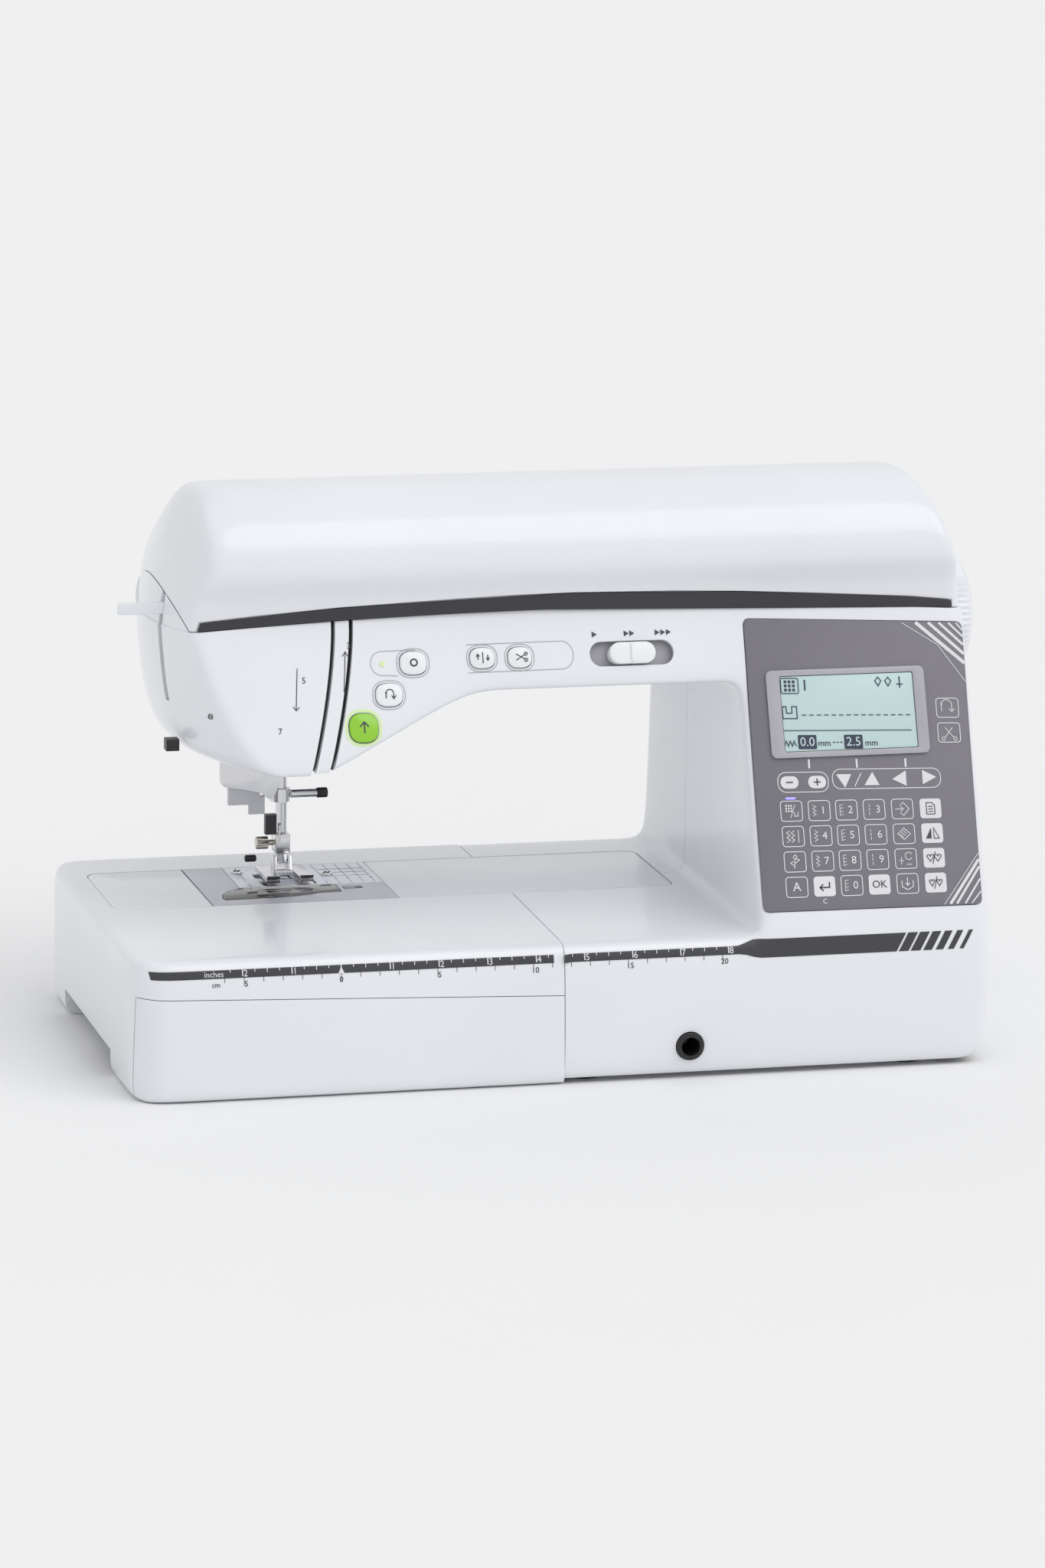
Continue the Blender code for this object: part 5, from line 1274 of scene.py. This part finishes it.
def make_panel_prints():
    place = panel_place(0.0006)
    white = bmesh.new()
    dark = bmesh.new()
    fill = bmesh.new()
    for row, s in enumerate(KEY_ROWS):
        for column, x in enumerate(KEY_COLUMNS):
            light = (row, column) in LIGHT_KEYS
            outline = key_outline(x, s)
            if light:
                add_tile(fill, outline, SUNK, 0.0002)
            else:
                add_stroke(white, outline, 0.42, True)
            if 1 <= column <= 3 and row < 3:
                number = 3 * row + column
                add_digits(white, str(number), x + 2.1, s, 5.6)
                tiny_stitch(white, x - 2.6, s, number)
            elif row == 3 and column == 2:
                add_digits(white, "0", x + 2.1, s, 5.6)
                tiny_stitch(white, x - 2.6, s, 2)
            elif row == 3 and column == 0:
                add_digits(white, "A", x, s, 6.6)
            elif row == 3 and column == 4:
                add_stroke(white, [(x - 3.0, s + 1.6), (x - 3.0, s - 1.6), (x, s - 3.2),
                                   (x + 3.0, s - 1.6), (x + 3.0, s + 1.6)], 0.45)
                add_stroke(white, [(x, s + 3.2), (x, s - 0.8)], 0.45)
                add_stroke(white, [(x - 1.2, s + 0.4), (x, s - 1.0), (x + 1.2, s + 0.4)], 0.45)
            elif row == 3 and column == 1:
                add_stroke(dark, [(x + 2.6, s + 2.2), (x + 2.6, s - 0.6), (x - 2.2, s - 0.6)], 0.6,
                           False, *OVER_KEY)
                add_stroke(dark, [(x - 0.7, s + 1.1), (x - 2.6, s - 0.6), (x - 0.7, s - 2.3)], 0.6,
                           False, *OVER_KEY)
            elif row == 3 and column == 3:
                add_digits_high(dark, "OK", x, s, 5.4)
            elif light:
                small_icon(dark, row, column, x, s)
            else:
                small_icon(white, row, column, x, s)
    lift_over_fill(dark)
    add_digits(white, "C", 124.5, 4.3, 3.6)
    for x in (121.0, 146.7, 173.0):
        add_tile(white, [(x - 0.5, 72.9), (x + 0.5, 72.9), (x + 0.5, 77.5), (x - 0.5, 77.5)])
    for x0, x1, s0, s1 in ((103.6, 130.7, 60.7, 70.9), (133.0, 191.4, 62.0, 72.2)):
        add_stroke(white, rounded_rectangle(x0, s0, x1, s1, 4.4, 6), 0.42, True)
    for x, sign in ((109.85, "-"), (124.7, "+")):
        add_tile(fill, key_outline(x, 65.75, 9.6, 6.4, 3.0), SUNK, 0.0002)
        add_stroke(dark, [(x - 1.8, 65.75), (x + 1.8, 65.75)], 0.6, False, *OVER_FILL)
        if sign == "+":
            add_stroke(dark, [(x, 63.95), (x, 67.55)], 0.6, False, *OVER_FILL)
    for points in (((135.1, 69.6), (139.6, 62.6), (143.3, 69.6)),
                   ((150.0, 63.7), (158.2, 63.7), (154.7, 70.6)),
                   ((165.2, 66.7), (172.8, 63.1), (172.8, 71.1)),
                   ((189.1, 67.5), (181.6, 71.3), (181.6, 63.7))):
        add_tile(white, points)
    add_stroke(white, [(144.8, 63.2), (148.6, 70.1)], 0.5)
    for low, high in ((98.9, 109.1), (85.8, 96.0)):
        add_stroke(white, rounded_rectangle(191.8, low, 203.8, high, 1.6, 4), 0.42, True)
    add_stroke(white, [(194.6, 102.2), (194.6, 105.6)] + arc(197.4, 105.6, 2.8, 180, 0, 8)
               + [(200.2, 102.2)], 0.4)
    add_stroke(white, [(198.8, 103.6), (200.2, 102.0), (201.6, 103.6)], 0.4)
    add_stroke(white, [(195.2, 88.0), (199.8, 93.6)], 0.4)
    add_stroke(white, [(200.4, 88.0), (195.8, 93.6)], 0.4)
    add_stroke(white, arc(194.6, 87.6, 0.9, 0, 360, 10)[:-1], 0.35, True)
    add_stroke(white, arc(201.0, 87.6, 0.9, 0, 360, 10)[:-1], 0.35, True)
    lay("panel_marks", white, place, PRINT, "machine", "white_plastic")
    lay("panel_filled_keys", fill, place, PRINT, "machine", "white_plastic")
    lay("panel_dark_marks", dark, place, PRINT_DARK, "machine", "dark_plastic")
    lamp = bmesh.new()
    add_tile(lamp, rounded_rectangle(107.1, 57.0, 112.5, 58.1, 0.5, 3), SUNK, 0.0003)
    lay("panel_lamp", lamp, place, BLUE_LAMP, "machine", "clear_plastic")


def make_panel_stripes():
    """Fans of thin diagonal lines in the panel's right corners."""
    place = panel_place(0.0006)
    lines = bmesh.new()
    add_stroke(lines, [(176.4, 149.0), (194.9, 137.6), (208.7, 118.0)], 0.35)
    for n, (x, s) in enumerate(((183.8, 127.9), (190.7, 132.8), (196.4, 137.7), (201.6, 142.1),
                                (205.7, 145.4))):
        add_stroke(lines, [(x, 149.3), (208.9, s)], 1.9 - 0.28 * n)
    add_stroke(lines, [(188.8, 0.5), (208.9, 26.9)], 0.35)
    for n, (x, s) in enumerate(((192.0, 23.6), (195.5, 19.8), (200.1, 13.3), (203.6, 6.7))):
        add_stroke(lines, [(x, 0.6), (208.9, s)], 1.5 - 0.28 * n)
    lay("panel_stripes", lines, place, PRINT, "machine", "white_plastic")


def make_screen_marks():
    place = panel_place(0.0016)
    ink = bmesh.new()
    add_stroke(ink, rounded_rectangle(108.6, 111.4, 117.9, 119.2, 0.8, 3), 0.45, True)
    for column in range(3):
        for row in range(3):
            x, s = 111.0 + 2.2 * column, 113.2 + 2.1 * row
            add_tile(ink, [(x - 0.7, s - 0.7), (x + 0.7, s - 0.7), (x + 0.7, s + 0.7),
                           (x - 0.7, s + 0.7)])
    add_digits(ink, "1", 121.4, 115.4, 8.0)
    for dx in (161.0, 166.4):
        add_stroke(ink, [(dx - 1.7, 118.2), (dx, 115.4), (dx + 1.7, 118.2)], 0.5)
        add_stroke(ink, [(dx - 1.7, 118.0), (dx, 120.0), (dx + 1.7, 118.0)], 0.5)
    add_stroke(ink, [(172.6, 114.6), (172.6, 120.4)], 0.6)
    add_stroke(ink, [(170.9, 116.4), (174.3, 116.4)], 0.5)
    add_stroke(ink, [(108.6, 98.4), (116.2, 98.4), (116.2, 104.6), (113.6, 104.6), (113.6, 101.2),
                     (110.6, 101.2), (110.6, 104.6), (108.6, 104.6)], 0.5, True)
    for n in range(15):
        x = 118.8 + 4.0 * n
        add_stroke(ink, [(x, 100.2), (x + 2.4, 100.2)], 0.45)
    add_stroke(ink, [(108.4, 92.2), (177.4, 92.2)], 0.4)
    add_stroke(ink, [(108.4 + 1.05 * i, 84.2 + (2.6 if i % 2 else 0.0)) for i in range(7)], 0.5)
    light = bmesh.new()
    for low, words, x in ((115.8, "0.0", 120.75), (140.6, "2.5", 145.55)):
        add_tile(ink, rounded_rectangle(low, 82.6, low + 9.9, 89.9, 0.5, 2))
        add_digits(light, words, x, 86.2, 6.6)
    for vert in light.verts:
        vert.co.z += OVERPRINT
    lay("screen_light_digits", light, place, LCD, "machine", "lcd_glass")
    add_digits(ink, "mm", 129.8, 85.6, 4.6)
    add_digits(ink, "mm", 155.2, 85.6, 4.6)
    for n in range(3):
        add_stroke(ink, [(134.4 + 2.0 * n, 86.0), (135.6 + 2.0 * n, 86.0)], 0.5)
    lay("screen_marks", ink, place, LCD_INK, "machine", "lcd_glass")


make_panel_prints()
make_panel_stripes()
make_screen_marks()

# ---------------------------------------------------------------- buttons and the speed slide

def on_slope(x, z, out):
    """Face millimetres round a point of the slope, at a height off it."""
    def place(u, v, w):
        return face_point(x, z, out + w) + Vector((u * MM, 0, 0)) + v * MM * FACE_UP
    return place


def pad(name, outline, x, z, low, high, finish_, dome=0.0006, edge=0.0008, rings=5):
    """A moulded key: straight sides, a round shoulder and a gently domed top."""
    bm = bmesh.new()
    base = [Vector(p) for p in outline]
    centre = sum(base, Vector((0.0, 0.0))) / len(base)
    levels = [(1.0, low)]
    reach = min((p - centre).length for p in base)
    for i in range(rings + 1):
        a = math.radians(90 * i / rings)
        levels.append((1.0 - edge * (1 - math.cos(a)) / reach, high - edge + edge * math.sin(a)))
    for i in range(1, 5):
        levels.append((levels[rings + 1][0] * (1 - i / 4.6), high + dome * (1 - (1 - i / 4.6) ** 2)))
    loops = []
    for scale, height in levels:
        loops.append([bm.verts.new(face_point(x, z, height) + Vector((p.x, 0, 0))
                                   + p.y * FACE_UP)
                      for p in (centre + (q - centre) * scale for q in base)])
    count = len(base)
    for a, b in zip(loops, loops[1:]):
        for i in range(count):
            j = (i + 1) % count
            bm.faces.new((a[i], a[j], b[j], b[i]))
    bm.faces.new(loops[0])
    bm.faces.new(loops[-1])
    bmesh.ops.recalc_face_normals(bm, faces=bm.faces)
    item = add_mesh(name, mesh_of(bm, name), finish_)
    smooth_by_angle(item.data, 50.0)
    return item


def button_mark(name):
    bm = bmesh.new()
    line = 0.5
    if name == "start_stop_button":
        add_stroke(bm, [(-2.2, 0.4), (0.0, 2.8), (2.2, 0.4)], 0.7)
        add_stroke(bm, [(0.0, 2.4), (0.0, -2.8)], 0.7)
    elif name == "reverse_button":
        add_stroke(bm, [(-2.0, -2.0), (-2.0, 0.6)] + arc(0.0, 0.6, 2.0, 180, 0, 8)
                   + [(2.0, -1.6)], line)
        add_stroke(bm, [(0.8, -0.6), (2.0, -2.2), (3.2, -0.6)], line)
    elif name == "reinforce_button":
        add_stroke(bm, arc(0.0, 0.0, 1.7, 0, 360, 20)[:-1], 0.8, True)
    elif name == "needle_position_button":
        add_stroke(bm, [(0.0, -2.8), (0.0, 2.8)], line)
        add_stroke(bm, [(-2.6, -1.0), (-2.6, 1.4)], line)
        add_stroke(bm, [(-3.4, 0.6), (-2.6, 1.8), (-1.8, 0.6)], line)
        add_stroke(bm, [(2.6, 1.4), (2.6, -1.0)], line)
        add_stroke(bm, [(1.8, -0.2), (2.6, -1.4), (3.4, -0.2)], line)
    else:
        add_stroke(bm, [(-2.2, 1.6), (2.4, -1.2)], line)
        add_stroke(bm, [(-2.2, -1.6), (2.4, 1.2)], line)
        add_stroke(bm, arc(3.0, 1.6, 0.8, 0, 360, 10)[:-1], 0.4, True)
        add_stroke(bm, arc(3.0, -1.6, 0.8, 0, 360, 10)[:-1], 0.4, True)
    return bm


def make_buttons(surface):
    for name, x, z, width, height in BUTTONS:
        body = BUTTON_BODY[name]
        colour = GREEN if name == "start_stop_button" else WHITE_KEY
        slot = SLOT_OF[name]
        shape = ellipse(width, height, 48, 2.6)
        item = pad(name + "_detail", shape, x, z, -0.0040, 0.0016, colour)
        ride(item, body, slot, name)
        mark = button_mark(name)
        lay(name + "_mark", mark, on_slope(x, z, BUTTON_TOP - 0.00012), PRINT_DARK, body,
            "dark_plastic")
        ring = bmesh.new()
        face_outline = ellipse(width + 0.0030, (height + 0.0030) * math.sin(PANEL_TILT), 48, 2.5, x, z)
        glow = name == "start_stop_button"
        add_stroke(ring, face_outline, 0.0012 if glow else 0.0004, True, *GROOVE)
        lay(name + "_ring", ring, surface, GREEN_RING if glow else SEAM_GREY, "machine",
            "white_plastic")


def make_grooves(surface):
    """Fine outlines that tie lamps and keys together on the arm."""
    lines = bmesh.new()
    pill = [(-0.0830, 0.2170), (-0.1010, 0.2168)]
    pill += [(-0.1010 - 0.0058 * math.sin(math.radians(a)), 0.2110 + 0.0058 * math.cos(math.radians(a)))
             for a in range(15, 180, 15)]
    pill += [(-0.1010, 0.2052), (-0.0930, 0.2048)]
    add_stroke(lines, pill, 0.0004, False, *GROOVE)
    bar = along((-0.0560, 0.2186), (-0.0100, 0.2188), 10)
    bar += [(-0.0062 + 0.0062 * math.sin(math.radians(a)), 0.2120 + 0.0068 * math.cos(math.radians(a)))
            for a in range(0, 181, 15)]
    bar += along((-0.0100, 0.2052), (-0.0560, 0.2050), 10)
    add_stroke(lines, bar, 0.0004, False, *GROOVE)
    lay("arm_grooves", lines, surface, SEAM_GREY, "machine", "grey_plastic")
    lamp = bmesh.new()
    add_tile(lamp, arc(-0.1007, 0.2108, 0.0013, 0, 360, 16)[:-1], -0.0001, 0.0005)
    lay("reinforce_lamp", lamp, surface, GREEN_RING, "machine", "clear_plastic")
    arrows = bmesh.new()
    for start, count in ((0.0105, 1), (0.0275, 2), (0.0440, 3)):
        for n in range(count):
            x = start + 0.0030 * n
            add_tile(arrows, [(x, 0.2200), (x + 0.0026, 0.2214), (x, 0.2228)])
    lay("speed_arrows", arrows, surface, PRINT_DARK, "machine", "dark_plastic")


def make_speed_slide():
    width, height = SPEED_SLOT
    # The slot floor is a real part; its grey is painted shade of the recess around the knob.
    floor = rounded_rectangle(-width / 2 - 0.002, -height / 2 - 0.002, width / 2 + 0.002,
                              height / 2 + 0.002, height / 2, 12)
    place = axes_frame(face_point(SPEED_X, SPEED_Z, -0.0056), (1.0, 0.0, 0.0), FACE_UP)
    ride(prism("speed_slot_floor", floor, 0.0012, place, GREY), "machine", "grey_plastic")
    width, height = SPEED_KNOB
    shape = rounded_rectangle(-width / 2, -height / 2, width / 2, height / 2, height / 2 - 0.0001, 12)
    knob = pad("speed_slider_detail", shape, SPEED_X, SPEED_Z, -0.0040, 0.0024, WHITE_KEY, 0.0004)
    ride(knob, "speed", SLOT_OF["speed_slider"], "speed_slider")
    ridge = pad("speed_slider_ridge", rounded_rectangle(-0.0011, -0.0049, 0.0011, 0.0049, 0.0010, 6),
                SPEED_X, SPEED_Z, 0.0020, 0.0036, WHITE_KEY, 0.0001, 0.0006)
    ride(ridge, "speed", "white_plastic")


ARM_FRONT = front_place(world_tree(FRONT, FACE, GUIDE))
make_buttons(ARM_FRONT)
make_grooves(ARM_FRONT)
make_speed_slide()

# ---------------------------------------------------------------- thread slots and diagrams

def make_slot_backing():
    """A dark sheet behind the two thread slots, painted shade for the shadow inside them."""
    bm = bmesh.new()
    heights = [0.1600 + 0.0718 * i / 24 for i in range(25)]
    rows = []
    for z in heights:
        left = slot_x(z, -0.0012)
        right = slot_x(z, SECOND_SLOT + SLOT_WIDTH + 0.0012)
        front = front_y(z) + 0.0052
        rows.append([bm.verts.new(p) for p in ((left, front, z), (right, front, z),
                                               (right, front + 0.0010, z), (left, front + 0.0010, z))])
    for a, b in zip(rows, rows[1:]):
        for i in range(4):
            j = (i + 1) % 4
            bm.faces.new((a[i], a[j], b[j], b[i]))
    bm.faces.new(rows[0])
    bm.faces.new(rows[-1])
    bmesh.ops.recalc_face_normals(bm, faces=bm.faces)
    # The dark finish here is painted shade for the inside of the thread slots.
    ride(add_mesh("thread_slot_shade_sheet", mesh_of(bm, "wall", False), DARK), "machine", "dark_plastic")


def make_thread_guide_marks(surface):
    """Small numbered arrows that show the threading order."""
    ink = bmesh.new()
    for words, x, z in (("8", -0.1895, 0.1865), ("7", -0.1560, 0.1800), ("5", -0.1420, 0.2040),
                        ("3", -0.1175, 0.2200)):
        add_digits(ink, words, x, z, 0.0042)
    add_stroke(ink, along((-0.1450, 0.2100), (-0.1470, 0.1900), 6), 0.0004)
    add_stroke(ink, [(-0.1484, 0.1918), (-0.1470, 0.1898), (-0.1452, 0.1914)], 0.0004)
    add_stroke(ink, along((-0.1215, 0.1980), (-0.1195, 0.2170), 6), 0.0004)
    add_stroke(ink, [(-0.1212, 0.2150), (-0.1195, 0.2172), (-0.1180, 0.2148)], 0.0004)
    lay("thread_path_marks", ink, surface, PRINT_DARK, "machine", "dark_plastic")


make_slot_backing()
make_thread_guide_marks(ARM_FRONT)

# ---------------------------------------------------------------- needle plate and the needle area

def flat_place(x, y, w):
    return Vector((x, y, BED_TOP + w))


def make_plate_marks():
    ink = bmesh.new()
    for n, x in enumerate((-0.1460, -0.1045, -0.0980, -0.0915, -0.0850, -0.0790)):
        add_stroke(ink, [(x, 0.0395), (x, 0.0465)], 0.00022, False, *ENGRAVED)
        add_stroke(ink, [(x, 0.0535), (x, 0.0838)], 0.00022, False, *ENGRAVED)
        if n > 1:
            add_digits(ink, str(n), x, 0.0500, 0.0030)
    for y in (0.0560, 0.0640, 0.0720):
        add_stroke(ink, [(-0.1045, y), (-0.0790, y)], 0.0002, False, *ENGRAVED)
    for vert in ink.verts:
        vert.co.z = min(vert.co.z, 0.00008)
    lay("plate_engraving", ink, flat_place, PRINT_DARK, BODY_OF["needle_plate"], "dark_plastic")
    for name, x, y in (("plate_screw_left", -0.1468, 0.0736), ("plate_screw_right", -0.1005, 0.0618)):
        head = turned(name, (x, y, BED_TOP - 0.0008),
                      [(0.0, 0.0), (0.0026, 0.0), (0.0034, 0.0010), (0.0032, 0.0015), (0.0, 0.0017)],
                      "Z", STEEL, 32)
        ride(head, BODY_OF["needle_plate"], "polished_steel")
        # Black strokes over the screw head are painted shade for the slot recess, which the head does not
        # cut.
        slot = bmesh.new()
        for turn in (20.0, 110.0):
            way = Vector((math.cos(math.radians(turn)), math.sin(math.radians(turn)))) * 0.0022
            add_stroke(slot, [(x - way.x, y - way.y), (x + way.x, y + way.y)], 0.0005)
        lay(name + "_slot", slot, lambda u, v, w: Vector((u, v, BED_TOP + 0.0008 + w)), BLACK,
            BODY_OF["needle_plate"], "dark_plastic")


NEEDLE_FINISH = {"plate_cover": PLATE_TINT, "threader_head": PALE_GREY, "presser_lever": PALE_GREY}


def make_needle_area():
    for node, width in (("needle_plate", 0.0002), ("plate_cover", 0.0002), ("bobbin_cover", 0.0003),
                        ("bobbin_cover_latch", 0.0003), ("presser_foot", 0.0003),
                        ("presser_foot_holder", 0.0005),
                        ("threader_head", 0.0004), ("threader_lever", 0.0006),
                        ("presser_lever", 0.0008), ("needle_bar_frame", 0.0006),
                        ("feed_dog", 0.0002), ("free_arm_cover", 0.0008)):
        refined(node, width, 3, NEEDLE_FINISH.get(node))
    ride(turned("needle_clamp_screw_detail", (CLAMP_X, NEEDLE_Y, CLAMP_Z),
                [(0.0, 0.0), (0.0022, 0.0), (0.0022, 0.0134), (0.0024, 0.0138), (0.0, 0.0138)],
                "X", STEEL, 32), "clamp_screw", "polished_steel", "needle_clamp_screw")
    ride(turned("needle_clamp_knob", (CLAMP_X, NEEDLE_Y, CLAMP_Z),
                [(0.0, 0.0139), (0.0024, 0.0139), (0.0027, 0.0143), (0.0027, 0.0190),
                 (0.0024, 0.0196), (0.0, 0.0196)], "X", BLACK, 64, 0.0003, 16),
         "clamp_screw", "dark_plastic")
    ride(turned("holder_screw_detail", (-0.1389, PRESSER_Y, 0.0905),
                [(0.0, 0.0), (0.0028, 0.0), (0.0034, 0.0006), (0.0034, 0.0064), (0.0016, 0.0070),
                 (0.0016, 0.0096), (0.0, 0.0096)], "X", NICKEL, 80, 0.0003, 20),
         "foot_screw", "polished_steel", "holder_screw")
    guard = [(-0.1640, 0.1655), (-0.1640, 0.1330)]
    guard += arc(-0.1595, 0.1318, 0.0045, 180, 250, 6)
    guard += [(-0.1500, 0.1256), (-0.1420, 0.1238)] + arc(-0.1372, 0.1240, 0.0035, 250, 300, 5)
    guard += [(-0.1315, 0.1290), (-0.1300, 0.1400), (-0.1300, 0.1655)]
    plate = round_edges(front_prism("needle_guard_detail", guard, 0.0344, 0.0360, STEEL), 0.0004, 3)
    ride(settle(plate, 40.0), BODY_OF["needle_guard"], SLOT_OF["needle_guard"], "needle_guard")
    lever = rod("foot_release_button", (-0.1440, 0.0660, 0.0816), 0.0060, 0.0019, "X", BLACK, 0.0005)
    ride(lever, "presser", "dark_plastic")
    ride(block("presser_bar_guide", (-0.1350, 0.0560, 0.0962), (-0.1290, 0.0600, 0.1070), DARK),
         "presser", "dark_plastic")


make_plate_marks()
make_needle_area()

# ---------------------------------------------------------------- hand wheel, lid strip, small parts

def make_wheel():
    profile = [(0.0, 0.0), (0.0150, 0.0), (0.0180, 0.0006), (0.0260, 0.0002), (0.0295, 0.0040),
               (0.0306, 0.0075), (0.0310, 0.0100), (0.0310, 0.0210), (0.0305, 0.0228),
               (0.0298, 0.0240), (0.0270, 0.0257), (0.0235, 0.0264), (0.0200, 0.0265),
               (0.0185, 0.0256), (0.0090, 0.0252), (0.0, 0.0254)]
    wheel = turned("handwheel_detail", (WHEEL_IN, SHAFT_Y, SHAFT_Z), profile, "X", WHITE, 240,
                   0.0007, 60)
    ride(wheel, "drive", SLOT_OF["handwheel"], "handwheel")


make_wheel()
for node, width in (("lid_accent_strip", 0.0004), ("control_panel", 0.0003), ("lcd_frame", 0.0005),
                    ("lcd_screen", 0.0002), ("power_inlet", 0.0006),
                    ("power_switch", 0.0006), ("top_deck", 0.0006), ("main_frame", 0.0008),
                    ("base_plate", 0.0004), ("bobbin_winder", 0.0004), ("spool_pin", 0.0003),
                    ("spool_cap", 0.0004)):
    refined(node, width, 2)
refined("knee_lifter_socket", 0.0005, 2, BLACK)

for name, shift in (("inlet_pin_left", -0.0050), ("inlet_pin_right", 0.0050)):
    pin = rod(name, (0.1978, INLET_Y + shift, INLET_Z), 0.0100, 0.0012, "X", STEEL, 0.0004)
    ride(pin, "machine", "polished_steel")


def back_screw(number, x, z, tree):
    """A cross-head screw sunk in the rear cover."""
    hit, _, _, _ = tree.ray_cast(Vector((x, 0.4, z)), Vector((0.0, -1.0, 0.0)), 0.5)
    if hit is None:
        return
    name = "rear_screw_%d" % number
    head = turned(name, hit - Vector((0.0, 0.0012, 0.0)),
                  [(0.0, 0.0), (0.0030, 0.0), (0.0036, 0.0012), (0.0030, 0.0019), (0.0, 0.0022)],
                  "Y", STEEL, 32)
    ride(head, "machine", "polished_steel")
    # Black strokes over the head are painted shade for the cross recess, which the head does not cut.
    cross = bmesh.new()
    for way in ((0.0020, 0.0), (0.0, 0.0020)):
        add_stroke(cross, [(x - way[0], z - way[1]), (x + way[0], z + way[1])], 0.0006)
    lay(name + "_cross_shade", cross, lambda u, v, w: Vector((u, hit.y + 0.0010 + w, v)), BLACK,
        "machine", "dark_plastic")


REAR_TREE = world_tree(REAR)
for number, (x, z) in enumerate(((0.196, 0.030), (0.196, 0.214), (0.100, 0.214), (-0.110, 0.214),
                                 (0.010, 0.030), (0.010, 0.060))):
    back_screw(number + 1, x, z, REAR_TREE)

ride(block("thread_cutter", (-0.2062, -0.0345, 0.1630), (-0.1995, -0.0275, 0.1690), BLACK),
     "machine", "dark_plastic")
ride(turned("pedal_jack", (0.2085, INLET_Y - 0.0330, INLET_Z),
            [(0.0, 0.0), (0.0050, 0.0), (0.0050, 0.0040), (0.0034, 0.0044), (0.0032, 0.0020),
             (0.0, 0.0020)], "X", DARK, 40), "machine", "dark_plastic")
for name, turn in (("switch_on_mark", 0.0038), ("switch_off_mark", -0.0038)):
    mark = bmesh.new()
    if turn > 0:
        add_stroke(mark, [(INLET_Y + turn, SWITCH_Z - 0.0022), (INLET_Y + turn, SWITCH_Z + 0.0022)],
                   0.0006)
    else:
        add_stroke(mark, arc(INLET_Y + turn, SWITCH_Z, 0.0020, 0, 360, 20)[:-1], 0.0006, True)
    lay(name, mark, lambda u, v, w: Vector((SWITCH_FACE_X - SWITCH_LEAN * (u - INLET_Y) + w, u, v)), PRINT,
        "switch", "white_plastic")

# ---------------------------------------------------------------- carried-over nodes

for node, item in frame["nodes"].items():
    item.data.materials.clear()
    item.data.materials.append(SLOT_FINISH[SLOT_OF[node]])


# ---------------------------------------------------------------- stage, light, camera

def make_stage():
    """A wide pale floor that fills the view."""
    bm = bmesh.new()
    corners = ((-1, -1), (1, -1), (1, 1), (-1, 1))
    bm.faces.new([bm.verts.new((x * FLOOR_HALF, y * FLOOR_HALF, 0.0)) for x, y in corners])
    add_mesh("floor", mesh_of(bm, "floor"), FLOOR)


FLOOR = finish("floor_paper", (FLOOR_WHITE,) * 3, 0.85, shade=0.002, grain=30.0, bump=0.0,
               rough_spread=0.02)
make_stage()

world = bpy.data.worlds.new("studio")
bpy.context.scene.world = world
world.use_nodes = True
world.node_tree.nodes["Background"].inputs["Color"].default_value = WORLD_COLOUR
world.node_tree.nodes["Background"].inputs["Strength"].default_value = WORLD_STRENGTH


def soft_sun(name, place, strength, spread):
    """Even soft light from far away, the same over the whole floor."""
    lamp = bpy.data.lights.new(name, "SUN")
    lamp.energy = strength
    lamp.angle = math.radians(spread)
    holder = bpy.data.objects.new(name, lamp)
    bpy.context.scene.collection.objects.link(holder)
    holder.rotation_euler = (-Vector(place)).to_track_quat("-Z", "Y").to_euler()
    return holder


soft_sun("key", KEY_FROM, KEY_STRENGTH, KEY_SPREAD)


def make_camera():
    lens = bpy.data.cameras.new("camera")
    lens.lens = FOCAL
    lens.sensor_width = SENSOR
    lens.clip_start = 0.05
    lens.clip_end = 60.0
    holder = bpy.data.objects.new("camera", lens)
    bpy.context.scene.collection.objects.link(holder)
    right = CAMERA_RIGHT.normalized()
    up = (CAMERA_UP - CAMERA_UP.dot(right) * right).normalized()
    turn = Matrix((right, up, right.cross(up))).transposed().to_4x4()
    turn.translation = CAMERA_PLACE
    holder.matrix_world = turn
    bpy.context.scene.camera = holder


make_camera()
bpy.context.scene.view_settings.view_transform = "Standard"
